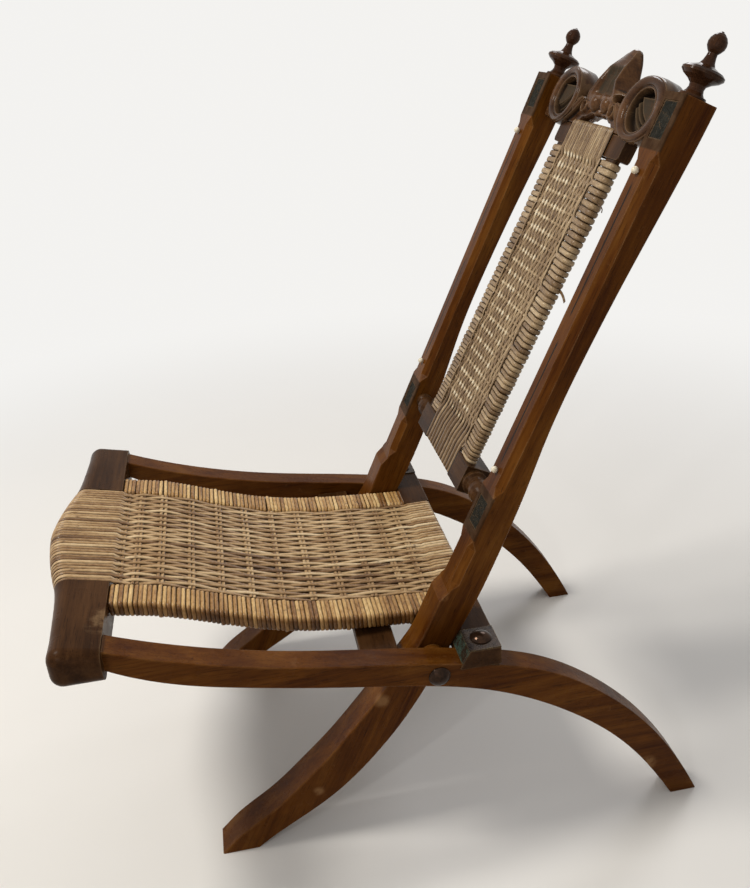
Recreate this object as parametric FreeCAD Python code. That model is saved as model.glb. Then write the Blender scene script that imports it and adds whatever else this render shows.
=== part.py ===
"""Folding cane easy chair: a seat frame on rear legs, and a back frame on front legs, pivoted together.

Frame: millimetres, +Z up, the sitter faces -Y, +X is the sitter's left.
The origin is on the floor under the middle of the chair.
"""
import FreeCAD
import Part
import math
import os

V = FreeCAD.Vector

# Widths, all measured from the middle plane X = 0
RAIL_OUTER_X = 225.0
RAIL_INNER_X = 195.0
RAIL_MIDDLE_X = (RAIL_INNER_X + RAIL_OUTER_X) / 2
POST_OUTER_X = 187.0
POST_INNER_X = 148.0
POST_MIDDLE_X = (POST_INNER_X + POST_OUTER_X) / 2
SEAT_RAIL_OUTER_X = 145.0
SEAT_RAIL_INNER_X = 105.0
FRONT_RAIL_END_X = 237.0
CANE = 3.5
FIELD = 5.0
EDGE_ROUND = 1.5

# Side rail, which runs on as the rear leg: (y, z) along its top and its underside
RAIL_TOP = [(-290, 347), (-199, 312.5), (-112, 289.5), (25, 265), (100, 249), (160, 229),
            (235, 180), (280, 136), (323, 79), (352, 28.5), (366, 0)]
RAIL_UNDER = [(-290, 323.7), (-203, 285), (-155, 272.5), (-61, 252), (24, 235.5), (98, 214.5),
              (153, 188.5), (199, 158.5), (248, 117), (289, 69), (312, 35), (333, 0)]

# The posts' front face is a plane that leans back: d is depth behind it, w is height along it
LEAN = math.degrees(math.atan(0.465))
POST_TOP_Y = 294.5
POST_TOP_Z = 809.6
# The post's rear edge as (w, d), from the top down to where the leg starts to curve
POST_REAR = [(0, 34.5), (-70, 32.5), (-150, 28), (-250, 24.5), (-340, 26), (-400, 31), (-460, 34),
             (-560, 34)]
# The curved front leg below the pivot, as (y, z)
LEG_REAR = [(70, 254), (38, 198), (7, 151), (-32, 104), (-76, 63), (-105, 43), (-149, 16), (-171.5, 0)]
LEG_FRONT = [(33.5, 261), (14, 234), (-12, 200), (-46, 158), (-73, 127), (-108, 92), (-150, 54), (-197, 19),
             (-216, 0)]
LOWER_BLOCK_PROUD = 5.0
LOWER_BLOCK_TOP_W = -550.0
LOWER_BLOCK_END_W = -578.0
TOE_ANGLE = 47.0
UPPER_BLOCK_W = (-50.0, 0.0)
MIDDLE_BLOCK_W = (-468.0, -420.0)
LOWER_STOP_W = -538.0
CHAMFER = 8.0
CHAMFER_RUNOUT = 13.0
SUNK_PANEL_WIDTH = 25.0
SUNK_PANEL_DEPTH = 1.6
BUTTON_W = (-73.0, -393.0)
BUTTON_RADIUS = 3.6

# Pivot, bolts and straps
PIVOT_Y = 46.3
PIVOT_Z = 244.9
BOLT_RADIUS = 5.0
STOP_BOLT_RADIUS = 3.0
RUNNING_FIT = 0.05
HEAD_RADIUS = 12.0
HEAD_HEIGHT = 6.5
NUT_RADIUS = 9.0
NUT_HEIGHT = 4.5
SPACER_RADIUS = 14.0
GAP = 0.4

# Front rail: the plan of its bowed front as (x, y), with the cane on it
FRONT_REAR_Y = -290.0
FRONT_BOW = [(0, -366), (60, -359), (105, -349), (150, -344.5), (200, -342)]
FRONT_TOP_Z = 351.0
FRONT_BOTTOM_Z = 316.0
FRONT_TOP_SLOPE = 13.0
FRONT_NOSE = 14.0
FRONT_CORNER = 14.0
TENON_LENGTH = 22.0

# Rear rail, which stops the posts, and the plain rail under the seat
REAR_FRONT_Y = 80.6
REAR_BACK_Y = 115.0
REAR_TOP_Z = 271.0
REAR_BOTTOM_Z = 249.0
REAR_SLOPE = 0.55
REAR_END_X = 226.0
STRAP = 1.5
STRAP_INNER_X = 189.0
STRAP_DROP = 13.5
STOP_BOLT_X = 206.0
MIDDLE_RAIL_Y = (-31.0, 11.0)
MIDDLE_RAIL_Z = (238.0, 254.0)

# Seat rail: (y, z) along the top of its cane
SEAT_TOP = [(-300, 351), (-243, 339.5), (-216, 330.5), (-190, 320.5), (-162, 310), (-134, 300),
            (-106, 292), (-77, 286), (-47, 281.5), (-17, 278.5), (14, 276), (44, 273.5), (90, 271)]
SEAT_THICKNESS = 19.0

# Woven fields: thin sheets with their cross bands standing above them
SEAT_BAND_Y = (-283, -265, -239, -206, -173, -140, -106, -71, -36, 0, 36, 62)
SEAT_BAND_WIDTH = 9.0
BACK_BANDS = 22
BACK_BAND_PITCH = 14.6
BACK_FIRST_BAND_V = -37.0
BACK_BAND_WIDTH = 6.0
BAND_TOP = 0.5
BAND_SLOPE = 1.2
SEAT_BAND_RISE = 1.8
BACK_BAND_RISE = 1.2

# Back panel: p is depth behind the front of its cane, v is height, both from its top edge
PANEL_LEAN = LEAN + 1.66
PANEL_TOP_D = 13.0
PANEL_TOP_W = -40.0
STILE_OUTER_X = 83.0
STILE_INNER_X = 53.5
STILE_SPLAY = 3.5
STILE_FRONT_P = 1.0
STILE_BACK_P = 15.5
STILE_ROUND = 6.0
HEAD_OUTER_X = 88.0
HEAD_P = (2.5, 17.0)
HEAD_V = (-29.0, -6.0)
TOP_RAIL_HEIGHT = 32.0
TOP_RAIL_DEPTH = 15.0
LOWER_RAIL_TOP_V = -384.0
LOWER_RAIL_HEIGHT = 33.0
LOWER_RAIL_DEPTH = 31.0
LOWER_BLOCK_X = 96.0
WRAP_GAP = 5.0
# Turned end of the lower back rail as (radius, x), from its square block to the post
LOWER_RAIL_TURNING = [(0, 95), (14, 95), (14.5, 101), (11, 104), (10, 108), (11.5, 111), (13.2, 116),
                      (13.9, 123), (13.2, 129), (11, 134), (8.5, 137.5), (8.5, 140.5), (10.5, 143.5),
                      (10.5, 148), (0, 148)]

# Crest rail between the posts
CREST_FRONT_D = 12.0
CREST_DEPTH = 20.0
SCROLL_X = 99.0
SCROLL_W = -18.0
SCROLL_RX = 43.0
SCROLL_RW = 33.0
SCROLL_HOLLOW_RX = 23.5
SCROLL_HOLLOW_RW = 22.0
SCROLL_HOLLOW_DEPTH = 10.0
SCROLL_PROUD = 4.0
# Half of the leaf's outline as (x, w), and its front edge as (w, depth behind the crest's front)
LEAF = [(0, 42.5), (5, 41.5), (10, 38), (15, 33), (19, 28), (22, 22), (25, 16), (29, 8), (34, 1),
        (40, -4), (62, -6)]
LEAF_FRONT = [(-10, -4.4), (4, -4.4), (19, 0), (29, 6), (42.5, 13)]
LEAF_SCOOP = [(0, 23), (12, 10), (15, -2), (17, -12)]
LEAF_SCOOP_DEPTH = 5.0

# Finial turning as (radius, height above the post)
FINIAL = [(0, 0), (12.8, 0), (13.2, 1.5), (12.6, 3.2), (10.2, 3.8), (8.2, 6.5), (7.2, 9.5), (7.8, 12.5),
          (11.4, 15.5), (17, 18.4), (20.1, 21.4), (20, 23.7), (17.4, 25.8), (12, 27.6), (7.6, 29.6), (5.8, 33),
          (4.7, 37.5), (4.5, 40.2), (6.3, 42.2), (8.3, 45.3), (8.8, 48.6), (8.1, 51.8), (6.2, 54.8), (3.6, 57.1),
          (1.6, 58.2), (1.2, 58.8), (0, 59)]
DOWEL_RADIUS = 5.0
DOWEL_LENGTH = 18.0


def extruded(edges, thickness):
    """A closed run of edges in a YZ plane, extruded along X."""
    return Part.Face(Part.Wire(edges)).extrude(V(thickness, 0, 0))


def polygon_yz(points, x0, x1):
    corners = [V(x0, y, z) for y, z in points]
    return extruded([Part.makeLine(a, b) for a, b in zip(corners, corners[1:] + corners[:1])], x1 - x0)


def curve(points, x, leaving=None, arriving=None):
    """A smooth edge through (y, z) points, with the (y, z) directions of its ends where they matter."""
    nodes = [V(x, y, z) for y, z in points]
    spline = Part.BSplineCurve()
    if leaving is None:
        spline.interpolate(nodes)
    else:
        spline.interpolate(Points=nodes, InitialTangent=V(0, *leaving), FinalTangent=V(0, *arriving))
    return spline.toShape()


def line(a, b, x):
    return Part.makeLine(V(x, *a), V(x, *b))


def box(x0, x1, y0, y1, z0, z1):
    return Part.makeBox(x1 - x0, y1 - y0, z1 - z0, V(x0, y0, z0))


def cylinder(start, end, radius):
    run = V(*end) - V(*start)
    return Part.makeCylinder(radius, run.Length, V(*start), run)


def mirrored(shape):
    return shape.mirror(V(0, 0, 0), V(1, 0, 0))


def both(shape):
    """A shape and its mirror image, as one group."""
    return Part.makeCompound([shape, mirrored(shape)])


def cut_all(shape, *tools):
    for tool in tools:
        shape = shape.cut(tool)
    return shape


def rounded(shape, radius, wanted):
    """Round every edge that passes the test."""
    return shape.makeFillet(radius, [edge for edge in shape.Edges if wanted(edge)])


def stood_on(shape, base, axis):
    """Move a shape drawn standing on the origin to a base point, standing along an axis."""
    shape.Placement = FreeCAD.Placement(V(*base), FreeCAD.Rotation(V(0, 0, 1), V(*axis)))
    return shape


def turned(profile, base, axis):
    """A turning from (radius, height) points that start and end on its axis."""
    ring = [V(radius, 0, height) for radius, height in profile]
    spun = Part.Face(Part.makePolygon(ring + ring[:1])).revolve(V(0, 0, 0), V(0, 0, 1), 360)
    return stood_on(spun, base, axis)


def domed_head(radius, height, base, axis):
    rim = 1.0
    ball = (radius ** 2 + (height - rim) ** 2) / (2 * (height - rim))
    head = Part.makeCylinder(radius, height).common(Part.makeSphere(ball, V(0, 0, height - ball)))
    return stood_on(head, base, axis)


def post_point(d, w):
    """(y, z) of a point d behind the posts' front plane and w along it."""
    lean = math.radians(LEAN)
    return (POST_TOP_Y + d * math.cos(lean) + w * math.sin(lean),
            POST_TOP_Z - d * math.sin(lean) + w * math.cos(lean))


def leaned(shape, y, z, lean):
    """Tip a shape drawn upright at the origin back by lean, and carry it to (y, z)."""
    return shape.transformed(FreeCAD.Placement(V(0, y, z), FreeCAD.Rotation(V(1, 0, 0), -lean)).toMatrix())


def on_post(shape):
    """Place a shape drawn as (x, d, w)."""
    return leaned(shape, POST_TOP_Y, POST_TOP_Z, LEAN)


def on_panel(shape):
    """Place a shape drawn as (x, p, v)."""
    return leaned(shape, *post_point(PANEL_TOP_D, PANEL_TOP_W), PANEL_LEAN)


# Seat frame

def side_rail_board():
    x = RAIL_INNER_X
    return extruded([curve(RAIL_TOP, x), line(RAIL_TOP[-1], RAIL_UNDER[-1], x),
                     curve(RAIL_UNDER[::-1], x), line(RAIL_UNDER[0], RAIL_TOP[0], x)],
                    RAIL_OUTER_X - RAIL_INNER_X)


def side_rail():
    """One board: side rail, knee and rear leg, tenoned into the front rail."""
    board = rounded(side_rail_board(), EDGE_ROUND, lambda edge: edge.Length > 200)
    board = board.fuse(side_rail_tenon())
    return cut_all(board, pivot_hole(), stop_bolt_hole(), middle_rail())


def side_rail_tenon():
    return box(RAIL_MIDDLE_X - 5, RAIL_MIDDLE_X + 5, FRONT_REAR_Y - TENON_LENGTH, FRONT_REAR_Y + 2, 328, 342)


def pivot_hole():
    start = POST_INNER_X - 20
    end = RAIL_OUTER_X + 10
    return cylinder((start, PIVOT_Y, PIVOT_Z), (end, PIVOT_Y, PIVOT_Z), BOLT_RADIUS + RUNNING_FIT)


def stop_bolt_hole():
    y = (REAR_FRONT_Y + REAR_BACK_Y) / 2
    return cylinder((STOP_BOLT_X, y, 190), (STOP_BOLT_X, y, 290), STOP_BOLT_RADIUS + RUNNING_FIT)


def front_rail_form(inset):
    """The bowed front rail, drawn smaller by inset where cane lies round it."""
    end = FRONT_RAIL_END_X
    rear_y = FRONT_REAR_Y - inset
    nose_x, nose_y = FRONT_BOW[-1]
    nose_y += inset
    half = [(x, y + inset) for x, y in FRONT_BOW]
    bow = Part.BSplineCurve()
    bow.interpolate([V(-x, y, 0) for x, y in half[:0:-1]] + [V(x, y, 0) for x, y in half])
    outline = [bow.toShape(), Part.makeLine(V(-end, rear_y, 0), V(end, rear_y, 0))]
    swing = FRONT_CORNER * (1 - math.sqrt(0.5))
    for side in (1, -1):
        corner_x = side * (end - FRONT_CORNER)
        corner_y = nose_y + FRONT_CORNER
        outline.append(Part.makeLine(V(side * nose_x, nose_y, 0), V(corner_x, nose_y, 0)))
        outline.append(Part.makeLine(V(side * end, corner_y, 0), V(side * end, rear_y, 0)))
        outline.append(Part.Arc(V(corner_x, nose_y, 0), V(side * (end - swing), nose_y + swing, 0),
                                V(side * end, corner_y, 0)).toShape())
    prism = Part.Face(Part.Wire(Part.__sortEdges__(outline))).extrude(V(0, 0, 90))
    prism.translate(V(0, 0, FRONT_BOTTOM_Z + inset))
    top = FRONT_TOP_Z - inset
    reach = 100.0
    rise = math.tan(math.radians(FRONT_TOP_SLOPE)) * reach
    above = polygon_yz([(FRONT_REAR_Y + reach, top), (FRONT_REAR_Y, top), (FRONT_REAR_Y - reach, top + rise),
                        (FRONT_REAR_Y - reach, top + reach), (FRONT_REAR_Y + reach, top + reach)], -300, 300)
    form = prism.cut(above)

    def nose_edge(edge):
        middle = edge.CenterOfMass
        low, high = edge.BoundBox.ZMin, edge.BoundBox.ZMax
        upright = high - low > 25
        return not upright and (middle.y < nose_y + 1 or abs(middle.x) > end - 20)

    return rounded(form, FRONT_NOSE - inset, nose_edge)


def caned_middle():
    """The stretch of the front and rear rails that lies under the cane."""
    return box(-SEAT_RAIL_INNER_X, SEAT_RAIL_INNER_X, -400, 200, 200, 420)


def front_rail():
    full, core = front_rail_form(0), front_rail_form(CANE)
    rail = full.cut(caned_middle()).fuse(core.common(caned_middle()))
    for joint in (side_rail_tenon(), seat_rail()):
        rail = cut_all(rail, joint, mirrored(joint))
    return rail


def front_wrap():
    return front_rail_form(0).cut(front_rail_form(CANE)).common(caned_middle())


def rear_rail_form(inset):
    """The rear rail's plain bar; its front leans with the posts that rest against it."""
    front, back = REAR_FRONT_Y + inset, REAR_BACK_Y - inset
    top, bottom = REAR_TOP_Z - inset, REAR_BOTTOM_Z + inset
    foot = front - (top - bottom) * REAR_SLOPE
    bar = polygon_yz([(front, top), (back, top), (back, bottom), (foot, bottom)], -REAR_END_X, REAR_END_X)
    return rounded(bar, EDGE_ROUND, lambda edge: edge.Length > 400)


def rear_rail():
    """Rear rail, cut to sit on the side rails and rebated for the cane."""
    bar = rear_rail_form(0).cut(caned_middle()).fuse(rear_rail_form(CANE).common(caned_middle()))
    foot = box(RAIL_INNER_X, RAIL_OUTER_X, REAR_FRONT_Y + 10, REAR_BACK_Y - EDGE_ROUND,
               REAR_BOTTOM_Z - 9, REAR_BOTTOM_Z + 2)
    for joint in (side_rail_board(), mirrored(side_rail_board())):
        bar = bar.cut(joint)
    seated = foot.cut(side_rail_board())
    bar = bar.fuse(seated).fuse(mirrored(seated))
    for joint in (seat_rail(), stop_bolt_hole()):
        bar = cut_all(bar, joint, mirrored(joint))
    return bar


def rear_wrap():
    return rear_rail_form(0).cut(rear_rail_form(CANE)).common(caned_middle())


def middle_rail():
    """Flat rail under the seat rails, tenoned into the side rails' inner faces."""
    y0, y1 = MIDDLE_RAIL_Y
    z0, z1 = MIDDLE_RAIL_Z
    bar = box(-RAIL_INNER_X, RAIL_INNER_X, y0, y1, z0, z1)
    rail = rounded(bar, EDGE_ROUND, lambda edge: edge.Length > 200)
    tenon_end_x = RAIL_INNER_X + 12
    return rail.fuse(box(-tenon_end_x, tenon_end_x, y0 + 10, y1 - 6, z1 - 7.5, z1 - 3))


def seat_board(x0, x1, top_inset, under_inset):
    """A dished board that follows the seat's curve, long at both ends."""
    top = [(y, z - top_inset) for y, z in SEAT_TOP]
    under = [(y, z - under_inset) for y, z in SEAT_TOP]
    return extruded([curve(top, x0), line(top[-1], under[-1], x0), curve(under[::-1], x0),
                     line(under[0], top[0], x0)], x1 - x0)


def between_rails(front, back):
    return box(-200, 200, front, back, 200, 420)


def seat_rail():
    """Dished board under the side wraps, tenoned into the front and rear rails."""
    board = seat_board(SEAT_RAIL_INNER_X + CANE, SEAT_RAIL_OUTER_X - CANE, CANE, SEAT_THICKNESS - CANE)
    board = board.common(between_rails(FRONT_REAR_Y, REAR_FRONT_Y)).cut(rear_rail_form(0))
    tenons = seat_board(SEAT_RAIL_INNER_X + 10, SEAT_RAIL_OUTER_X - 10,
                        CANE + 2.5, SEAT_THICKNESS - CANE - 2.5)
    return board.fuse(tenons.common(between_rails(FRONT_REAR_Y - 9, REAR_FRONT_Y + 6)))


def seat_side_wrap():
    outer = seat_board(SEAT_RAIL_INNER_X, SEAT_RAIL_OUTER_X, 0, SEAT_THICKNESS)
    wrap = outer.common(between_rails(FRONT_REAR_Y, REAR_FRONT_Y))
    return cut_all(wrap, seat_rail(), rear_rail_form(0))


def banded(centres, width, start, end):
    """(place, depth) along a sheet: 0 on its cross bands, 1 between them, with sloping sides."""
    foot, crest = width / 2, width / 2 - BAND_SLOPE
    places = [(start, 1)]
    for centre in centres:
        places += [(centre - foot, 1), (centre - crest, 0), (centre + crest, 0), (centre + foot, 1)]
    return places + [(end, 1)]


def seat_top_z(y):
    """Height of the seat's top, on straight lines between its points."""
    for (y0, z0), (y1, z1) in zip(SEAT_TOP, SEAT_TOP[1:]):
        if y <= y1:
            return z0 + (z1 - z0) * (y - y0) / (y1 - y0)
    return SEAT_TOP[-1][1]


def seat_field():
    """The woven field, a sheet between the four wraps with its cross bands above it."""
    places = banded(SEAT_BAND_Y, SEAT_BAND_WIDTH, FRONT_REAR_Y, REAR_FRONT_Y)
    top = [(y, seat_top_z(y) - BAND_TOP - SEAT_BAND_RISE * depth) for y, depth in places]
    under = [(y, seat_top_z(y) - FIELD) for y in (REAR_FRONT_Y, *SEAT_BAND_Y[::-1], FRONT_REAR_Y)]
    return polygon_yz(top + under, -SEAT_RAIL_INNER_X, SEAT_RAIL_INNER_X).cut(rear_rail_form(0))


# Fittings

def strap():
    """Brass strap over the end of the rear rail, turned down its front."""
    x0, x1 = STRAP_INNER_X, REAR_END_X
    top = box(x0, x1, REAR_FRONT_Y, REAR_BACK_Y, REAR_TOP_Z, REAR_TOP_Z + STRAP)
    high_y, high_z = REAR_FRONT_Y, REAR_TOP_Z + STRAP
    low_y, low_z = REAR_FRONT_Y - (STRAP_DROP + STRAP) * REAR_SLOPE, REAR_TOP_Z - STRAP_DROP
    flange = polygon_yz([(high_y + STRAP, high_z), (high_y - STRAP, high_z), (low_y - STRAP, low_z),
                         (low_y + STRAP, low_z)], x0, x1)
    return cut_all(top.fuse(flange), rear_rail_form(0), stop_bolt_hole())


def stop_bolt():
    """Bolt down through the strap, the rear rail and the side rail."""
    y = (REAR_FRONT_Y + REAR_BACK_Y) / 2
    top = REAR_TOP_Z + STRAP
    head = domed_head(HEAD_RADIUS, HEAD_HEIGHT, (STOP_BOLT_X, y, top), (0, 0, 1))
    return head.fuse(cylinder((STOP_BOLT_X, y, 204), (STOP_BOLT_X, y, top), STOP_BOLT_RADIUS))


def stop_nut():
    y = (REAR_FRONT_Y + REAR_BACK_Y) / 2
    nut = cylinder((STOP_BOLT_X, y, 206), (STOP_BOLT_X, y, 216), 6.5)
    return cut_all(nut, stop_bolt_hole(), side_rail())


def pivot_bolt():
    """Domed pivot bolt, from outside the side rail to inside the post."""
    head = domed_head(HEAD_RADIUS, HEAD_HEIGHT, (RAIL_OUTER_X, PIVOT_Y, PIVOT_Z), (1, 0, 0))
    inner = POST_INNER_X - GAP - NUT_HEIGHT - 1
    return head.fuse(cylinder((inner, PIVOT_Y, PIVOT_Z), (RAIL_OUTER_X, PIVOT_Y, PIVOT_Z), BOLT_RADIUS))


def pivot_nut():
    inner = POST_INNER_X - GAP - NUT_HEIGHT
    nut = cylinder((inner, PIVOT_Y, PIVOT_Z), (inner + NUT_HEIGHT, PIVOT_Y, PIVOT_Z), NUT_RADIUS)
    return nut.cut(pivot_hole())


def pivot_spacer():
    """Wooden washer that holds the post off the side rail."""
    disc = cylinder((POST_OUTER_X + GAP, PIVOT_Y, PIVOT_Z), (RAIL_INNER_X, PIVOT_Y, PIVOT_Z), SPACER_RADIUS)
    return disc.cut(pivot_hole())


# Back frame

def post():
    """One board: leaning post with two square blocks, and the curved front leg."""
    x = POST_INNER_X
    lean = math.radians(LEAN)
    down = (-math.sin(lean), -math.cos(lean))
    top_front, stop = post_point(0, 0), post_point(0, LOWER_STOP_W)
    step = post_point(-LOWER_BLOCK_PROUD, LOWER_BLOCK_TOP_W)
    rear = [post_point(d, w) for w, d in POST_REAR] + LEG_REAR
    front = [step, post_point(-LOWER_BLOCK_PROUD, LOWER_BLOCK_END_W)] + LEG_FRONT
    toe = (-math.sin(math.radians(TOE_ANGLE)), -math.cos(math.radians(TOE_ANGLE)))
    board = extruded([line(top_front, rear[0], x), curve(rear, x), line(rear[-1], front[-1], x),
                      curve(front, x, down, toe), line(step, stop, x), line(stop, top_front, x)],
                     POST_OUTER_X - POST_INNER_X)
    board = rounded(board, EDGE_ROUND, lambda edge: edge.Length > 100 and edge.BoundBox.XLength < 1)
    for low, high in ((MIDDLE_BLOCK_W[1], UPPER_BLOCK_W[0]), (LOWER_STOP_W, MIDDLE_BLOCK_W[0])):
        for edge_x, inward in ((POST_INNER_X, 1), (POST_OUTER_X, -1)):
            board = board.cut(stopped_chamfer(edge_x, inward, low, high))
    for low, high in (UPPER_BLOCK_W, MIDDLE_BLOCK_W):
        half = SUNK_PANEL_WIDTH / 2
        board = board.cut(on_post(box(POST_MIDDLE_X - half, POST_MIDDLE_X + half, -1, SUNK_PANEL_DEPTH,
                                      low + 7, high - 7)))
    for w in BUTTON_W:
        board = board.cut(button_peg(w))
    return cut_all(board, pivot_hole(), lower_rail_pin(), crest_tenon(), finial_dowel())


def stopped_chamfer(edge_x, inward, low, high):
    """What a chamfer along a post's front corner takes away, dying out at both ends."""
    def triangle(w, size):
        corners = [V(edge_x - inward * 0.5, -0.5, w), V(edge_x + inward * size, -0.5, w),
                   V(edge_x - inward * 0.5, size, w)]
        return Part.makePolygon(corners + corners[:1])
    sections = [triangle(low + 2, 0.2), triangle(low + CHAMFER_RUNOUT, CHAMFER),
                triangle(high - CHAMFER_RUNOUT, CHAMFER), triangle(high - 2, 0.2)]
    return on_post(Part.makeLoft(sections, True, True))


def button_peg(w):
    """Bone stud in a post's front: a short peg under a round head."""
    head = Part.makeSphere(BUTTON_RADIUS, V(0, 0, 3.4))
    peg = Part.makeCylinder(1.6, 8.4, V(0, 0, -5))
    return on_post(stood_on(head.fuse(peg), (POST_MIDDLE_X, 0, w), (0, -1, 0)))


def buttons():
    pegs = [button_peg(w) for w in BUTTON_W]
    return Part.makeCompound(pegs + [mirrored(peg) for peg in pegs])


def finial_base():
    return (POST_MIDDLE_X, POST_REAR[0][1] / 2, 0)


def finial():
    knob = turned(FINIAL, finial_base(), (0, 0, 1))
    return on_post(knob).fuse(finial_dowel())


def finial_dowel():
    x, d, w = finial_base()
    return on_post(cylinder((x, d, w - DOWEL_LENGTH), (x, d, w + 1), DOWEL_RADIUS))


def crest_tenon():
    return on_post(box(POST_INNER_X - 2, POST_INNER_X + 12, CREST_FRONT_D + 4, CREST_FRONT_D + 15, -42, -10))


def ellipse_prism(x, w, rx, rw, d0, d1):
    curve_2d = Part.Ellipse(V(x, d0, w) + V(rx, 0, 0), V(x, d0, w) + V(0, 0, rw), V(x, d0, w))
    if rw > rx:
        curve_2d = Part.Ellipse(V(x, d0, w) + V(0, 0, rw), V(x, d0, w) + V(rx, 0, 0), V(x, d0, w))
    return Part.Face(Part.Wire(curve_2d.toShape())).extrude(V(0, d1 - d0, 0))


def mirrored_prism(half):
    """Half an outline as (x, w) and its mirror image, extruded in depth."""
    outline = [V(x, 0, w) for x, w in half + [(-x, w) for x, w in half[::-1] if x > 0]]
    return Part.Face(Part.makePolygon(outline + outline[:1])).extrude(V(0, 60, 0))


def crest():
    """Carved rail: an oval scroll by each post, a pointed leaf between them and an arch below."""
    front, back = CREST_FRONT_D, CREST_FRONT_D + CREST_DEPTH
    inner = POST_INNER_X
    web = box(-inner, inner, front + 2, back, -47, -4)
    rail = web.cut(ellipse_prism(0, -62, 58, 31, 0, 60))
    leaf_half = LEAF + [(62, -38), (0, -31)]
    leaf = mirrored_prism(leaf_half)
    sloped = [(front + depth, w) for w, depth in LEAF_FRONT]
    thinning = polygon_yz([(front + 3, -60), (front + 3, -26), (front - 4.4, -24)] + sloped
                          + [(back - 1, 42.5), (back - 1, -60)], -100, 100)
    deeper = [(d + LEAF_SCOOP_DEPTH, w) for d, w in sloped]
    scoop = polygon_yz(sloped + deeper[::-1], -100, 100).common(mirrored_prism(LEAF_SCOOP))
    narrow = box(-35, 35, 0, back, -24, 60)
    proud = box(-100, 100, front + 3, back, -60, 60)
    rail = rail.fuse(leaf.common(thinning).common(narrow.fuse(proud))).cut(scoop)
    rail = rail.cut(ellipse_prism(0, -62, 58, 31, 0, 60))
    for side in (1, -1):
        x = side * SCROLL_X
        drum = ellipse_prism(x, SCROLL_W, SCROLL_RX, SCROLL_RW, front - SCROLL_PROUD, back + 2)
        drum = rounded(drum, 5.0, lambda edge: edge.BoundBox.YMax < front)
        hollow = ellipse_prism(x, SCROLL_W, SCROLL_HOLLOW_RX, SCROLL_HOLLOW_RW,
                               front - SCROLL_PROUD - 1, front - SCROLL_PROUD + SCROLL_HOLLOW_DEPTH)
        rail = rail.fuse(drum).cut(hollow)
    rail = on_post(rail.common(box(-inner, inner, 0, 60, -60, 60)))
    tenon = crest_tenon().common(box(inner, inner + 30, 0, 500, 600, 900))
    rail = rail.fuse(tenon).fuse(mirrored(tenon))
    panel_top = on_panel(box(-STILE_INNER_X, STILE_INNER_X, -5, TOP_RAIL_DEPTH + 5, -40, 0.5))
    return cut_all(rail, back_stile(), mirrored(back_stile()), panel_top)


def lower_rail_axis():
    """Middle of the lower back rail, as (p, v)."""
    return (LOWER_RAIL_DEPTH / 2, LOWER_RAIL_TOP_V - LOWER_RAIL_HEIGHT / 2)


def lower_rail_end():
    """Turned end of the lower back rail: ring, ball, neck and shoulder against the post."""
    return on_panel(turned(LOWER_RAIL_TURNING, (0, *lower_rail_axis()), (1, 0, 0)))


def lower_rail_pin():
    p, v = lower_rail_axis()
    return on_panel(cylinder((POST_INNER_X - 1, p, v), (POST_INNER_X + 20, p, v), 7.5))


def lower_rail_form(inset):
    top, bottom = LOWER_RAIL_TOP_V - inset, LOWER_RAIL_TOP_V - LOWER_RAIL_HEIGHT + inset
    bar = box(-LOWER_BLOCK_X, LOWER_BLOCK_X, inset, LOWER_RAIL_DEPTH - inset, bottom, top)
    return rounded(bar, EDGE_ROUND, lambda edge: edge.Length > 100)


def panel_middle():
    edge_x = STILE_INNER_X + STILE_SPLAY - 2
    return box(-edge_x, edge_x, -50, 100, -500, 50)


def lower_rail():
    bar = lower_rail_form(0).cut(panel_middle()).fuse(lower_rail_form(CANE).common(panel_middle()))
    end = lower_rail_end().fuse(lower_rail_pin())
    rail = on_panel(bar).fuse(end).fuse(mirrored(end))
    return cut_all(rail, back_stile(), mirrored(back_stile()))


def bottom_wrap():
    return on_panel(lower_rail_form(0).cut(lower_rail_form(CANE)).common(panel_middle()))


def stile_form(inset, high, low):
    """The wrapped length of a back stile, which splays a little towards its foot."""
    def section(v):
        shift = STILE_SPLAY * v / LOWER_RAIL_TOP_V
        x0, x1 = STILE_INNER_X + inset + shift, STILE_OUTER_X - inset + shift
        p0, p1 = STILE_FRONT_P + inset, STILE_BACK_P - inset
        corners = [V(x0, p0, v), V(x1, p0, v), V(x1, p1, v), V(x0, p1, v)]
        return Part.makePolygon(corners + corners[:1])
    form = Part.makeLoft([section(high), section(low)], True, True)
    return rounded(form, STILE_ROUND - inset, lambda edge: edge.Length > 200)


def back_stile():
    """Back stile, with a bare square head in the crest rail and its foot in the lower rail."""
    shaft = stile_form(CANE, HEAD_V[0] + 5, LOWER_RAIL_TOP_V - 12)
    head = box(STILE_INNER_X + 0.5, HEAD_OUTER_X, *HEAD_P, *HEAD_V)
    head = rounded(head, 5.0, lambda edge: edge.CenterOfMass.z < HEAD_V[0] + 0.1
                   and edge.CenterOfMass.x > HEAD_OUTER_X - 0.1)
    return on_panel(shaft.fuse(head)).cut(top_rail())


def side_wrap():
    wrap = stile_form(0, -TOP_RAIL_HEIGHT, LOWER_RAIL_TOP_V + WRAP_GAP)
    return on_panel(wrap).cut(back_stile())


def top_rail_form(inset):
    half = STILE_INNER_X
    bar = box(-half, half, inset, TOP_RAIL_DEPTH - inset, -TOP_RAIL_HEIGHT + inset, -inset)
    return rounded(bar, EDGE_ROUND, lambda edge: edge.Length > 100)


def top_rail():
    """Top rail of the panel, with tenons into the stile heads."""
    tenon = box(-STILE_INNER_X - 12, STILE_INNER_X + 12, 6, 11, HEAD_V[0] + 6, -CANE - 4)
    return on_panel(top_rail_form(CANE).fuse(tenon))


def top_wrap():
    return on_panel(top_rail_form(0).cut(top_rail_form(CANE)))


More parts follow.
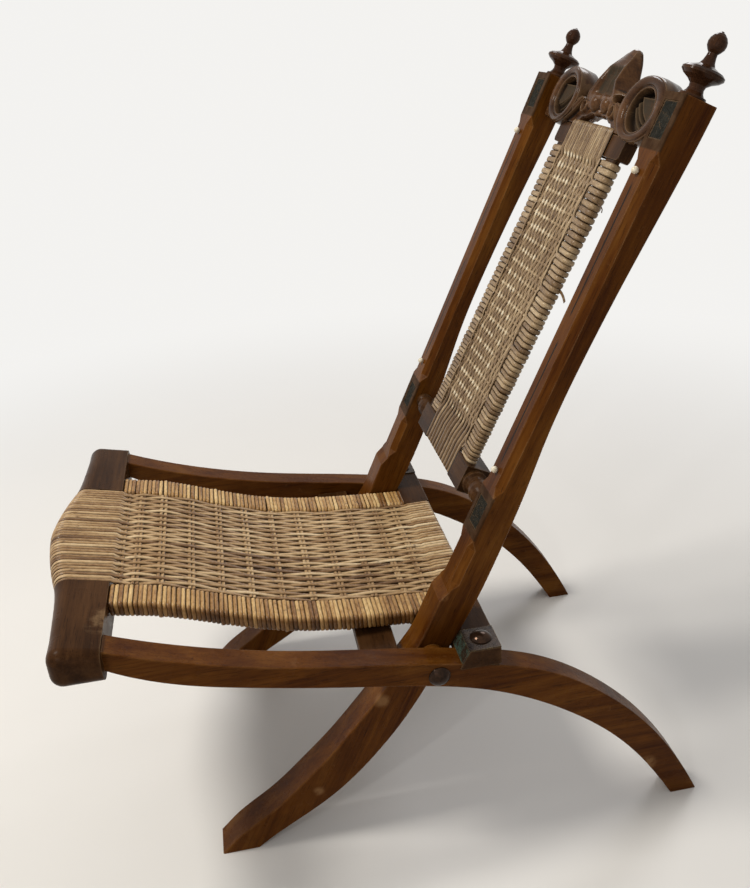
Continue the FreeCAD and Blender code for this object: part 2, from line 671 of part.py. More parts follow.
def back_field():
    """The woven field of the back, a thin sheet with bands on both faces that widens towards its foot."""
    high, low = -TOP_RAIL_HEIGHT, LOWER_RAIL_TOP_V
    top_half = STILE_INNER_X + STILE_SPLAY * high / LOWER_RAIL_TOP_V
    low_half = STILE_INNER_X + STILE_SPLAY
    corners = [V(-top_half, 0, high), V(top_half, 0, high), V(low_half, 0, low), V(-low_half, 0, low)]
    plan = Part.Face(Part.makePolygon(corners + corners[:1])).extrude(V(0, 20, 0))
    bands = [BACK_FIRST_BAND_V - i * BACK_BAND_PITCH for i in range(BACK_BANDS)]
    places = banded(bands[::-1], BACK_BAND_WIDTH, low, high)
    front, back = STILE_FRONT_P + 1.0, STILE_FRONT_P + FIELD
    face = [(front + BACK_BAND_RISE * depth, v) for v, depth in places]
    rear = [(back - BACK_BAND_RISE * depth, v) for v, depth in places[::-1]]
    sheet = polygon_yz(face + rear, -low_half, low_half).common(plan)
    return on_panel(sheet).cut(side_wrap()).cut(mirrored(side_wrap()))


def save(name, shape):
    shape.exportStep(os.path.join("parts", name + ".step"))
    print(name, len(shape.Solids), "solid(s), valid:", shape.isValid(), "volume", round(shape.Volume))


def main():
    os.makedirs("parts", exist_ok=True)
    pairs = {
        "side_rail": side_rail, "seat_rail": seat_rail, "seat_cane_wrap": seat_side_wrap, "stop_strap": strap,
        "post": post, "finial": finial, "back_stile": back_stile, "back_cane_wrap": side_wrap,
    }
    for name, make in pairs.items():
        shape = make()
        save(name + "_left", shape)
        save(name + "_right", mirrored(shape))
    singles = {
        "front_rail": front_rail, "rear_rail": rear_rail, "middle_rail": middle_rail,
        "seat_cane_front_wrap": front_wrap, "seat_cane_rear_wrap": rear_wrap, "seat_cane_field": seat_field,
        "crest_rail": crest, "back_top_rail": top_rail, "back_lower_rail": lower_rail,
        "back_cane_top_wrap": top_wrap, "back_cane_bottom_wrap": bottom_wrap, "back_cane_field": back_field,
    }
    for name, make in singles.items():
        save(name, make())
    for name, make in {"stop_bolts": stop_bolt, "stop_nuts": stop_nut, "pivot_bolts": pivot_bolt,
                       "pivot_nuts": pivot_nut, "pivot_spacers": pivot_spacer}.items():
        save(name, both(make()))
    save("post_buttons", buttons())


main()
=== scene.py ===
"""Looks of the folding cane easy chair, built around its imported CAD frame.

Frame: +Z up, the sitter faces -Y, +X is the sitter's left. Shapes are worked out in millimetres
and handed to Blender in metres.
"""

import math

import bpy
import numpy as np
from mathutils import Matrix, Vector


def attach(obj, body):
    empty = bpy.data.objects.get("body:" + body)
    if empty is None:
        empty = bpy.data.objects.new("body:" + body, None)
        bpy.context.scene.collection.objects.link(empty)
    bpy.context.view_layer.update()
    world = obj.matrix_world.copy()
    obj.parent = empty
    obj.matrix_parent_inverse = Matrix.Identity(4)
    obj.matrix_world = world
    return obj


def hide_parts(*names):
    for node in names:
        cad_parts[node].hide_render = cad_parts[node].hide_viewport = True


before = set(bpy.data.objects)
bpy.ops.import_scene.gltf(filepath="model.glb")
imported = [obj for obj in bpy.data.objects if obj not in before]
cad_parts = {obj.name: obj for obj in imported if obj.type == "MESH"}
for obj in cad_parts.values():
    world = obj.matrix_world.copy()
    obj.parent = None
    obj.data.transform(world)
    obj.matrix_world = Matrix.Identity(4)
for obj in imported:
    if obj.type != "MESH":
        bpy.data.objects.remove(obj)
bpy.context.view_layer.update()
MM = 0.001
RANDOM = np.random.default_rng(1873)
X_AXIS = np.array([1.0, 0.0, 0.0])

# Camera, from the vanishing lines and joints of the photograph
CAMERA_PLACE = (0.96122, -0.12194, 0.89367)
CAMERA_RIGHT = Vector((0.18309, 0.98124, -0.06030)).normalized()
CAMERA_UP = Vector((-0.42117, 0.13371, 0.89707)).normalized()
CAMERA_BACK = Vector((0.88831, -0.13885, 0.43775)).normalized()
CAMERA_LENS = 36.31

# Lamps: name, place, what they point at, size, power and colour
LAMPS = (
    ("key", (-0.1, -1.3, 2.4), (0, 0, 0.35), 0.7, 44, (1.0, 0.95, 0.87)),
    ("side", (2.2, -0.9, 1.4), (0, 0, 0.35), 1.6, 4, (1.0, 0.97, 0.94)),
    ("spark", (1.5, -1.0, 1.5), (0, 0.1, 0.5), 0.1, 3.0, (1.0, 0.98, 0.96)),
    ("back", (-1.6, 1.2, 2.0), (0, 0.1, 0.4), 1.0, 14, (0.97, 0.97, 1.0)),
)
WORLD_COLOUR = (1.0, 0.97, 0.93, 1)
WORLD_STRENGTH = 0.34
BACKDROP = (0.90, 0.89, 0.87, 1.0)
FLOOR_SIZE = 60
# The floor fades into the backdrop between these distances from the chair's middle, in metres
FLOOR_FADE = (0.55, 1.9)


def lean_axes(lean):
    """Directions of depth and of height for something that leans back."""
    return np.array([0.0, math.cos(lean), -math.sin(lean)]), np.array([0.0, math.sin(lean), math.cos(lean)])


# The posts' frame: d is depth behind their front, w is height along it
LEAN = math.atan(0.465)
POST_TOP = np.array([0.0, 294.5, 809.6])
DEPTH_AXIS, UP_AXIS = lean_axes(LEAN)

# The back panel's frame: p is depth behind the front of its cane, v is height
PANEL_LEAN = LEAN + math.radians(1.66)
PANEL_TOP = POST_TOP + 13.0 * DEPTH_AXIS - 40.0 * UP_AXIS
PANEL_DEPTH_AXIS, PANEL_UP_AXIS = lean_axes(PANEL_LEAN)

# Seat, as in the CAD source
SEAT_TOP = [(-300, 351), (-243, 339.5), (-216, 330.5), (-190, 320.5), (-162, 310), (-134, 300),
            (-106, 292), (-77, 286), (-47, 281.5), (-17, 278.5), (14, 276), (44, 273.5), (90, 271)]
SEAT_THICKNESS = 19.0
SEAT_INNER_X = 105.0
SEAT_OUTER_X = 145.0
FRONT_REAR_Y = -290.0
FRONT_BOW = [(0, -366), (60, -359), (105, -349)]
FRONT_TOP_Z = 351.0
FRONT_BOTTOM_Z = 316.0
FRONT_TOP_SLOPE = math.radians(13.0)
FRONT_NOSE = 14.0
REAR_FRONT_Y = 80.6
REAR_BACK_Y = 115.0
REAR_TOP_Z = 271.0
REAR_BOTTOM_Z = 249.0
REAR_SLOPE = 0.55
SEAT_STRANDS = 36
SEAT_EDGE_X = 102.2
SEAT_BAND_Y = (-283, -265, -239, -206, -173, -140, -106, -71, -36, 0, 36, 62)
SIDE_WRAPS = 76

# The seat's weave: how far it lies below the wraps, how far strands swing over and under, and how far
# below it the plain layer lies
SEAT_PITCH = 2 * SEAT_EDGE_X / (SEAT_STRANDS - 1)
SEAT_WEAVE_DEPTH = 2.9
LONG_SWING = 1.2
BAND_SWING = 0.7
SEAT_UNDER_GAP = 3.4
SEAT_STEP = 2.2
SEAT_INSET = 1.0
# Broad stains of the seat: how dark, and the place and size of each in x and in y
SEAT_STAINS = ((0.17, 30, 30, -130, 60), (0.20, 72, 14, 10, 60), (0.22, 10, 16, -345, 40),
               (0.14, -70, 20, -200, 50))

# Back panel, as in the CAD source
STILE_OUTER_X = 83.0
STILE_INNER_X = 53.5
STILE_SPLAY = 3.5
STILE_P = (1.0, 15.5)
STILE_ROUND = 6.0
TOP_HEIGHT = 32.0
TOP_DEPTH = 15.0
LOWER_TOP_V = -384.0
LOWER_HEIGHT = 33.0
LOWER_DEPTH = 31.0
BACK_STRANDS = 24
BACK_BAND_PITCH = 14.6
BACK_LAST_BAND_V = -350.0
BACK_BANDS_V = np.arange(-37.0, BACK_LAST_BAND_V - 1, -BACK_BAND_PITCH)
STILE_WRAPS = 60

# The back's weave, and the places where the top rail's wrap parts, counted in strands
BACK_WEAVE_DEPTH = 3.6
BACK_SWING = 0.7
BACK_BAND_SWING = 0.6
BACK_UNDER_GAP = 2.4
BACK_STEP = 1.8
BACK_INSET = 0.9
WRAP_CORNER = 2.0
TOP_WRAP_GAPS = (4.5, 7.5, 11.5, 13.5, 17.5, 20.5)

# Sizes of the strands of cane, as (width, thickness); a stile wrap's width is the pitch it covers
SEAT_CANE = (5.6, 1.9)
SEAT_UNDER_CANE = (5.6, 1.4)
SEAT_BAND_CANE = (4.3, 1.1)
SIDE_WRAP_CANE = (4.95, 1.8)
BACK_CANE = (4.4, 1.7)
BACK_UNDER_CANE = (4.6, 1.2)
BACK_BAND_CANE = (3.6, 1.3)
STILE_WRAP_CANE = (1.0, 2.0)

# A strand of cane: rounded above, nearly flat below, as (across, height) of its half width and thickness
CANE_SECTION = [(-1.0, 0.05), (-0.95, 0.42), (-0.7, 0.78), (-0.3, 0.97), (0.3, 0.97), (0.7, 0.78),
                (0.95, 0.42), (1.0, 0.05), (0.0, 0.0)]
# Joints of the cane: how far apart they lie on average, and how long one is
JOINT_SPACING = 140
JOINT_LENGTH = 1.6

# Carved crest rail, with x taken outward from the middle on both sides
CREST_END_X = 147.9
CREST_BACK_D = 32.0
# Points of the crest's grid: half of its length, up its front and down its back
CREST_GRID = (320, 170, 12)
SCROLL = (99.0, -18.0)
SCROLL_OUTER = (43.0, 33.0)
HOLLOW = (97.5, -19.2)
HOLLOW_RADII = (24.0, 21.5)
HOLLOW_TURN = math.radians(-38)
HOLLOW_CRESCENTS = ((-11.5, 7.0), (-5.5, 8.0))
RING_INNER_D = 9.2
BLADE_START = (41.0, -16.0)
BLADE_TIP = (84.0, -48.5)
BLADE_HALF_WIDTH = 6.0
CURL = (36, -26)
CURL_RADIUS = 9
HOLE = (40.0, -13.0)
HOLE_RADII = (7.0, 4.2)
# The lower edge of the crest, and the arch in its middle: half width, the height of its foot and its rise
CREST_LOW_W = -46.0
ARCH = (58, -62, 31)
# Where the leaf's front ends
LEAF_FOOT_W = -14
# The bosses below the leaf, as place, radius and rise
BOSSES = ((14, -20, 9.5, 8.5), (27, -21, 6.5, 5.0))
# The leaf's outline at its back, as (x, w)
LEAF_BACK = [(0, 42.5), (5, 41.5), (10, 38), (15, 33), (19, 28), (22, 22), (25, 16), (29, 8), (34, 1),
             (40, -4), (62, -6)]
# The sharp front edge of the leaf as (w, x, d)
LEAF_RIM = [(-60, 34, 8.5), (-24, 34, 8.5), (-11, 32, 7.6), (4, 22, 7.6), (19, 17.8, 12), (29, 13.5, 18),
            (37, 9.5, 22), (43, 5, 25.5)]
# A depth that no carving reaches, for places outside a shape
NOTHING = 99.0

# The posts' square blocks with their sunk panels, and the dark line down each post's front in two runs:
# painted shade of an incised groove that is not modelled
POST_MIDDLE_X = 167.5
UPPER_BLOCK_W = (-50.0, 0.0)
MIDDLE_BLOCK_W = (-468.0, -420.0)
SUNK_PANEL_WIDTH = 25.0
SUNK_PANEL_DEPTH = 1.6
SUNK_PANEL_MARGIN = 7
SUNK_PANEL_PLAY = 0.1
SUNK_PANEL_GRID = (44, 60)
PUNCH_DENTS = 420
PUNCH_RADIUS = 0.55
GROOVE_SHADE_RUNS = ((-386.0, -243.0), (-220.0, -82.0))

# Colours of cane, from a strand's darkest tone to its lightest
CANE_STOPS = [(0.0, (0.052, 0.023, 0.009)), (0.3, (0.180, 0.093, 0.036)), (0.55, (0.375, 0.235, 0.110)),
              (0.8, (0.56, 0.40, 0.22)), (1.0, (0.72, 0.57, 0.36))]
SIDE_CANE_STOPS = [(0.0, (0.052, 0.020, 0.006)), (0.3, (0.190, 0.086, 0.024)), (0.55, (0.400, 0.225, 0.080)),
                   (0.8, (0.60, 0.40, 0.17)), (1.0, (0.78, 0.60, 0.32))]
BACK_CANE_STOPS = [(0.0, (0.044, 0.021, 0.009)), (0.3, (0.140, 0.080, 0.035)), (0.55, (0.275, 0.182, 0.095)),
                   (0.8, (0.47, 0.350, 0.205)), (1.0, (0.80, 0.71, 0.53))]
# Near-black at the edges of each strand: grime, and painted shade where strands meet
CANE_GRIME_AND_SHADE = (0.030, 0.014, 0.005)
CANE_JOINT = (0.10, 0.05, 0.022)

# Colours of wood
CARVED_WOOD = dict(dark=(0.025, 0.011, 0.006), middle=(0.082, 0.036, 0.014), light=(0.145, 0.070, 0.030),
                   worn=(0.20, 0.125, 0.065))
TURNED_WOOD = dict(dark=(0.014, 0.006, 0.003), middle=(0.046, 0.018, 0.008), light=(0.085, 0.038, 0.017),
                   worn=(0.16, 0.10, 0.05))
RED_WOOD = dict(dark=(0.038, 0.009, 0.0015), middle=(0.100, 0.032, 0.004), light=(0.162, 0.062, 0.010),
                worn=(0.25, 0.13, 0.055))
BROWN_WOOD = dict(dark=(0.016, 0.006, 0.002), middle=(0.048, 0.020, 0.007), light=(0.085, 0.038, 0.014),
                  worn=(0.18, 0.11, 0.055))
CREST_DUST = (0.031, 0.029, 0.021)
# Grime and painted shade in the crest's grooves and recesses
CREST_GRIME_AND_SHADE = (0.010, 0.006, 0.004)
BLOCK_DARK = (0.032, 0.017, 0.009)
BLOCK_LIGHT = (0.058, 0.034, 0.019)
# Painted shade of the groove down each post's front
GROOVE_SHADE = (0.004, 0.003, 0.002)
# Grime and painted shade on the rails under the cane
WRAP_GRIME_AND_SHADE = (0.008, 0.004, 0.002)
PUNCHED_GROUND = [(0.3, (0.007, 0.007, 0.005)), (0.55, (0.015, 0.014, 0.010)), (0.75, (0.032, 0.028, 0.02))]
PUNCHED_BORDER = (0.085, 0.052, 0.028)
BONE = [(0.3, (0.60, 0.50, 0.33)), (0.6, (0.82, 0.76, 0.62))]
FLOOR_TONES = [(0.3, (0.80, 0.79, 0.77)), (0.7, (0.82, 0.81, 0.79))]

# Colours of brass
STRAP_BRASS = ((0.034, 0.021, 0.013), (0.014, 0.009, 0.007))
STRAP_GREEN = (0.07, 0.11, 0.085)
STRAP_BRIGHT = (0.30, 0.20, 0.075)
BOLT_BRASS = ((0.044, 0.022, 0.012), (0.020, 0.011, 0.007))
BOLT_PATINA = (0.010, 0.006, 0.004)

# How strongly wood shines: waxed as most of it is, the finials, the crest and the posts' dull blocks
WAXED = 0.045
TURNED_SHINE = 0.07
CARVED_SHINE = 0.085
BLOCK_SHINE = 0.008

# Turns of the grain, which runs along X before
GRAIN_ALONG_Y = (0.0, 0.0, math.pi / 2)
GRAIN_UP_POSTS = (0.0, LEAN - math.pi / 2, math.pi / 2)

# Worn and chipped spots of the wood, each a place and a radius
POST_MARKS = [((187, -12, 190), 11), ((187, -95, 72), 8), ((187, 64, 317), 5), ((187, 117, 431), 6)]
RAIL_MARKS = [((225, 298, 57), 14), ((215, 150, 262), 24), ((215, -99, 297), 14)]
FRONT_RAIL_MARKS = [((172, -291, 352), 17), ((187, -296, 350), 15), ((160, -292, 350), 9)]

# Half lengths of the stretches of the back's rails that lie under cane
LOWER_WRAP_HALF_LENGTH = 57.0
TOP_WRAP_HALF_LENGTH = 53.0


def on_post(x, d, w):
    """Places of the posts' frame in the chair's frame, one row each."""
    x, d, w = (np.reshape(values, (-1, 1)) for values in (x, d, w))
    return POST_TOP + x * X_AXIS + d * DEPTH_AXIS + w * UP_AXIS


def on_panel(points):
    """Points given as rows of (x, p, v), moved to the chair's frame."""
    x, p, v = np.asarray(points, float).T[:, :, None]
    return PANEL_TOP + x * X_AXIS + p * PANEL_DEPTH_AXIS + v * PANEL_UP_AXIS


def columns(*values):
    """Rows of coordinates from columns; a single value fills its whole column."""
    return np.column_stack(np.broadcast_arrays(*values))


def unit(vectors):
    return vectors / np.linalg.norm(vectors, axis=1)[:, None]


def around(middle, spread):
    """A random value no further than spread from the middle."""
    return middle + RANDOM.uniform(-spread, spread)


def side_name(side):
    return "left" if side > 0 else "right"


def both(name):
    return name + "_left", name + "_right"


def ease(a, b, t):
    """0 at a and before it, 1 at b and beyond it, and a soft change between; b may be less than a."""
    t = np.clip((t - a) / (b - a), 0.0, 1.0)
    return t * t * (3 - 2 * t)


def run_along(line):
    """Distance from the start of a line to each of its points."""
    return np.concatenate([[0.0], np.cumsum(np.linalg.norm(np.diff(line, axis=0), axis=1))])


def resampled(points, step):
    """The same line with points an even distance apart, about step."""
    points = np.asarray(points, float)
    along = run_along(points)
    count = max(int(round(along[-1] / step)), 2) + 1
    at = np.linspace(0, along[-1], count)
    return columns(*(np.interp(at, along, column) for column in points.T))


def smoothed(points, rounds):
    """A line whose corners are softened; its ends stay."""
    points = np.array(points, float)
    for _ in range(rounds):
        points[1:-1] = 0.25 * points[:-2] + 0.5 * points[1:-1] + 0.25 * points[2:]
    return points


def arc(cy, cz, radius, start, end, steps):
    angles = np.radians(np.linspace(start, end, steps))
    return [(cy + radius * math.cos(a), cz + radius * math.sin(a)) for a in angles]


def corner(cy, cz, start, end):
    """The small round corner of a wrapped rail."""
    return arc(cy, cz, WRAP_CORNER, start, end, 4)


def round_bar(centres, start, quarter, steps, radius):
    """Round the four corners of a bar, a quarter turn at each, and back to the start."""
    line = []
    for (cx, cy), count in zip(centres, steps):
        line += arc(cx, cy, radius, start, start + quarter, count)
        start += quarter
    return line + line[:1]


def wobble(along, length):
    """Smooth random change along a strand, about -1 to 1, that turns over a given length."""
    knots = int(along[-1] / length) + 4
    values = RANDOM.uniform(-1, 1, knots)
    at = along / length + RANDOM.uniform(0, 1)
    cell = np.floor(at).astype(int)
    t = ease(0, 1, at - cell)
    return values[cell] * (1 - t) + values[np.minimum(cell + 1, knots - 1)] * t


def new_object(name, data):
    made = bpy.data.objects.new(name, data)
    bpy.context.scene.collection.objects.link(made)
    return made


def new_piece(name, body, material, points, faces, kept, replaced=()):
    """A smooth piece that rides on a body; kept holds the values its material reads at each point."""
    mesh = bpy.data.meshes.new(name)
    mesh.from_pydata((np.asarray(points) * MM).tolist(), [], faces)
    for key, values in kept.items():
        values = np.asarray(values, np.float32)
        kind, field = ("FLOAT", "value") if values.ndim == 1 else ("FLOAT_VECTOR", "vector")
        attribute = mesh.attributes.new(key, kind, "POINT")
        attribute.data.foreach_set(field, values.ravel())
    mesh.polygons.foreach_set("use_smooth", [True] * len(mesh.polygons))
    mesh.materials.append(material)
    mesh.update()
    piece = new_object(name, mesh)
    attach(piece, body)
    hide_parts(*replaced)


class Strands:
    """Strands of cane that become one mesh, with colour kept in point attributes."""

    def __init__(self, width, thickness):
        self.half_width, self.thickness = width / 2, thickness
        self.points, self.faces = [], []
        self.kept = {"cane": [], "tone": [], "mark": []}
        self.count = 0

    def add(self, line, outward, tone, width=1.0, thickness=1.0):
        """One strand along line; outward is where its round side faces, in all or at each point."""
        tangent = unit(np.gradient(line, axis=0))
        side = unit(np.cross(tangent, outward))
        normal = np.cross(side, tangent)
        n, m = len(line), len(CANE_SECTION)
        along = run_along(line)
        half = self.half_width * width * (1 + 0.06 * wobble(along, 22))
        thick = self.thickness * thickness
        start = sum(len(p) for p in self.points)
        # Each strand reads its own stretch of the noise
        for u, h in CANE_SECTION:
            self.points.append(line + side * (u * half)[:, None] + normal * ((h - 0.5) * thick))
            self.kept["cane"].append(columns(along * MM + self.count * 0.37, u, self.count * 1.618 % 1.0))
        shade = np.clip(tone + 0.16 * wobble(along, 60) + 0.05 * wobble(along, 9), 0, 1)
        marks = np.zeros(n)
        for place in RANDOM.uniform(-40, along[-1] + 40, int(along[-1] / JOINT_SPACING) + 1):
            marks = np.maximum(marks, np.exp(-((along - place) / JOINT_LENGTH) ** 2))
        self.kept["tone"] += [shade] * m
        self.kept["mark"] += [marks] * m
        index = start + np.arange(m * n).reshape(m, n)
        for a, b in zip(index, np.roll(index, -1, axis=0)):
            self.faces.extend(zip(a[:-1].tolist(), a[1:].tolist(), b[1:].tolist(), b[:-1].tolist()))
        self.faces.append(tuple(index[:, 0].tolist()))
        self.faces.append(tuple(index[::-1, -1].tolist()))
        self.count += 1

    def build(self, name, body, material, replaced=()):
        kept = {key: np.concatenate(values) for key, values in self.kept.items()}
        new_piece(name, body, material, np.concatenate(self.points), self.faces, kept, replaced)


# Materials

class Nodes:
    """Short ways to make and link the nodes of a material or a world."""

    def __init__(self, owner):
        owner.use_nodes = True
        self.owner = owner
        self.tree = owner.node_tree
        self.shader = self.tree.nodes.get("Principled BSDF")
        # Place on the chair at rest, in metres
        self.place = self.node("TexCoord", output=3)

    def put(self, socket, value):
        if isinstance(value, bpy.types.NodeSocket):
            self.tree.links.new(value, socket)
        elif value is not None:
            socket.default_value = value

    def node(self, kind, inputs=None, output=0, **settings):
        made = self.tree.nodes.new("ShaderNode" + kind)
        for key, value in settings.items():
            setattr(made, key, value)
        for key, value in (inputs or {}).items():
            self.put(made.inputs[key], value)
        return made.outputs[output]

    def parts(self, vector):
        made = self.tree.nodes.new("ShaderNodeSeparateXYZ")
        self.put(made.inputs[0], vector)
        return made.outputs

    def stretched(self, vector, scale):
        return self.node("Mapping", {"Vector": vector, "Scale": scale})

    def measured(self, operation, a, b=None):
        """A number from one or two vectors."""
        return self.node("VectorMath", {0: a, 1: b}, output=1, operation=operation)

    def maths(self, operation, a, b=None, clamp=False):
        return self.node("Math", {0: a, 1: b}, operation=operation, use_clamp=clamp)

    def times(self, product, *factors):
        for factor in factors:
            product = self.maths("MULTIPLY", product, factor)
        return product

    def noise(self, scale, detail=3.0, rough=0.55, distortion=0.0, vector=None):
        return self.node("TexNoise", {"Vector": vector or self.place, "Scale": scale, "Detail": detail,
                                      "Roughness": rough, "Distortion": distortion})

    def ramp(self, value, stops):
        made = self.tree.nodes.new("ShaderNodeValToRGB")
        self.put(made.inputs[0], value)
        elements = made.color_ramp.elements
        while len(elements) < len(stops):
            elements.new(0.5)
        for element, (place, colour) in zip(elements, stops):
            element.position = place
            element.color = (*colour, 1.0)
        return made.outputs[0]

    def mix(self, factor, a, b):
        made = self.tree.nodes.new("ShaderNodeMix")
        made.data_type = "RGBA"
        self.put(made.inputs[0], factor)
        for socket, value in ((made.inputs[6], a), (made.inputs[7], b)):
            self.put(socket, value if isinstance(value, bpy.types.NodeSocket) else (*value, 1.0))
        return made.outputs[2]

    def ranged(self, value, low, high, to_low=0.0, to_high=1.0):
        return self.node("MapRange", {0: value, 1: low, 2: high, 3: to_low, 4: to_high})

    def spread(self, noise, low, high):
        """Noise mostly lies between 0.3 and 0.7; this spreads it from low to high."""
        return self.ranged(noise, 0.3, 0.7, low, high)

    def within(self, value, low, high, edge):
        """1 between low and high and 0 outside, with a soft change of width edge inside them."""
        above = self.ranged(value, low * MM, (low + edge) * MM)
        return self.times(above, self.ranged(value, high * MM, (high - edge) * MM))

    def bump(self, height, strength, distance):
        return self.node("Bump", {"Height": height, "Strength": strength, "Distance": distance})

    def attribute(self, name, output=2):
        return self.node("Attribute", output=output, attribute_name=name)

    def arrises(self, radius):
        """1 along outer edges and 0 on flat faces."""
        bevel = self.node("Bevel", {"Radius": radius}, samples=4)
        plain = self.node("NewGeometry", output=1)
        return self.ranged(self.measured("DOT_PRODUCT", bevel, plain), 0.995, 0.90)

    def overlay(self, factor, colour):
        """Mixes one more colour over the base colour that is already linked."""
        socket = self.shader.inputs["Base Color"]
        self.put(socket, self.mix(factor, socket.links[0].from_socket, colour))

    def seen_by_eye(self):
        """1 for rays that show the backdrop: straight from the camera, through glass or in a reflection."""
        path = self.tree.nodes.new("ShaderNodeLightPath").outputs
        seen = self.maths("MAXIMUM", path["Is Camera Ray"], path["Is Transmission Ray"])
        return self.maths("MAXIMUM", seen, path["Is Glossy Ray"])

    def surface(self, colour=None, rough=None, shine=None, normal=None, metallic=None):
        """Sets what is given on the shader, and returns the material."""
        for name, value in (("Base Color", colour), ("Roughness", rough), ("Specular IOR Level", shine),
                            ("Normal", normal), ("Metallic", metallic)):
            self.put(self.shader.inputs[name], value)
        return self.owner


def new_nodes(name):
    return Nodes(bpy.data.materials.new(name))


def cane_material(name, stops):
    """Split cane: glossy skin, fine lines along each strand, darker joints, and edges darkened with grime
    and painted shade.
    """
    n = new_nodes(name)
    cane = n.attribute("cane", output=1)
    joint = n.attribute("mark")
    fibre = n.noise(1.6, 4.0, 0.6, vector=n.stretched(cane, (60.0, 5.0, 40.0)))
    blotch = n.noise(1.0, 5.0, 0.65, vector=n.stretched(cane, (160.0, 1.2, 90.0)))
    shade = n.maths("ADD", n.attribute("tone"), n.spread(fibre, -0.13, 0.13))
    shade = n.maths("ADD", shade, n.spread(blotch, -0.12, 0.12), clamp=True)
    # The edges of each strand are darkened: partly grime, partly painted shade where strands meet
    edge = n.maths("POWER", n.maths("ABSOLUTE", n.parts(cane)[1]), 4.0)
    colour = n.mix(n.times(edge, 0.7), n.ramp(shade, stops), CANE_GRIME_AND_SHADE)
    colour = n.mix(n.times(joint, n.ranged(blotch, 0.35, 0.6, 0.9, 0.25)), colour, CANE_JOINT)
    relief = n.bump(n.maths("ADD", fibre, joint), 0.35, 0.0005)
    return n.surface(colour, n.spread(blotch, 0.18, 0.42), 0.26, relief)


def wood_material(name, dark, middle, light, worn, grain_turn=(0.0, 0.0, 0.0), rough=(0.20, 0.40), wear=0.6,
                  marks=(), shine=WAXED):
    """Old polished hardwood; grain_turn turns the grain, which runs along X before.

    marks are worn spots, each a place and a radius in millimetres.
    """
    n = new_nodes(name)
    turned = n.node("Mapping", {"Vector": n.place, "Rotation": grain_turn}, vector_type="TEXTURE")
    grain = n.noise(1.5, 6.0, 0.6, 0.35, n.stretched(turned, (3.0, 30.0, 30.0)))
    fine = n.noise(1.0, 3.0, 0.6, vector=n.stretched(turned, (12.0, 340.0, 340.0)))
    pores = n.noise(1.0, 1.0, 0.4, vector=n.stretched(turned, (55.0, 1300.0, 1300.0)))
    cloud = n.noise(9.0, 4.0, 0.55, 0.3)
    patch = n.noise(38.0, 6.0, 0.65)
    rub = n.noise(140.0, 3.0, 0.7)
    colour = n.ramp(n.maths("ADD", n.times(grain, 0.75), n.times(fine, 0.25)),
                    [(0.32, dark), (0.5, middle), (0.68, light)])
    colour = n.mix(n.ranged(cloud, 0.42, 0.68, 0.0, 0.55), colour, dark)
    colour = n.mix(n.ranged(pores, 0.60, 0.72, 0.0, 0.6), colour, tuple(c * 0.25 for c in dark))
    edge = n.times(n.arrises(0.0022), n.ranged(patch, 0.38, 0.6, 0.15, 1.0), wear)
    dust = n.times(n.ranged(rub, 0.62, 0.75), n.ranged(cloud, 0.5, 0.7, 0.0, 0.35))
    colour = n.mix(dust, n.mix(edge, colour, worn), worn)
    for spot, radius in marks:
        distance = n.measured("DISTANCE", n.place, tuple(c * MM for c in spot))
        near = n.ranged(distance, radius * MM, 0.4 * radius * MM)
        colour = n.mix(n.times(near, n.ranged(patch, 0.44, 0.56, 0.0, 0.65)), colour, worn)
    relief = n.bump(n.maths("ADD", n.times(fine, 0.6), n.times(pores, -0.5)), 0.18, 0.0004)
    return n.surface(colour, n.spread(patch, *rough), shine, relief)


def carving_material():
    """The crest's dark wood: dusty hollows, grime and painted shade in its grooves and recesses, and rubbed
    arrises.
    """
    n = Nodes(wood_material("carving_wood", **CARVED_WOOD, rough=(0.11, 0.22), wear=0.3, shine=CARVED_SHINE))
    patchy = n.ranged(n.noise(130.0, 4.0), 0.3, 0.6, 0.5, 1.0)
    n.overlay(n.times(n.attribute("dust"), patchy, 0.8), CREST_DUST)
    # Grooves and sunk places are darkened: grime and painted shade
    n.overlay(n.times(n.attribute("groove"), 0.8), CREST_GRIME_AND_SHADE)
    n.overlay(n.times(n.attribute("arris"), patchy, 0.3), CARVED_WOOD["worn"])
    polish = n.shader.inputs["Roughness"].links[0].from_socket
    return n.surface(rough=n.maths("MAXIMUM", polish, n.times(n.attribute("dust"), 0.75)))


def post_material():
    """The posts' red wood; the fronts of their blocks are darker, and a thin near-black line runs down
    between, painted shade of an incised groove.
    """
    n = Nodes(wood_material("post_wood", **RED_WOOD, grain_turn=GRAIN_UP_POSTS, marks=POST_MARKS))
    from_top = n.node("VectorMath", {0: n.place, 1: tuple(POST_TOP * MM)}, operation="SUBTRACT")
    depth = n.measured("DOT_PRODUCT", from_top, tuple(DEPTH_AXIS))
    height = n.measured("DOT_PRODUCT", from_top, tuple(UP_AXIS))
    front = n.ranged(depth, 0.0028, 0.0012)
    blocks = 0.0
    for low, high in (UPPER_BLOCK_W, MIDDLE_BLOCK_W):
        blocks = n.maths("MAXIMUM", blocks, n.times(front, n.within(height, low - 3, high + 3, 1.5)))
    worn_dark = n.mix(n.ranged(n.noise(90.0, 4.0), 0.4, 0.6), BLOCK_DARK, BLOCK_LIGHT)
    n.overlay(n.times(blocks, 0.88), worn_dark)
    off_middle = n.maths("SUBTRACT", n.maths("ABSOLUTE", n.parts(n.place)[0]), POST_MIDDLE_X * MM)
    line = n.times(n.ranged(n.maths("ABSOLUTE", off_middle), 0.0009, 0.0017, 0.92, 0.0),
                   n.ranged(depth, 0.0012, 0.0003))
    # A near-black line painted as the shade of an incised groove that is not modelled
    for low, high in GROOVE_SHADE_RUNS:
        n.overlay(n.times(line, n.within(height, low, high, 6)), GROOVE_SHADE)
    return n.surface(shine=n.ranged(blocks, 0.0, 1.0, WAXED, BLOCK_SHINE))


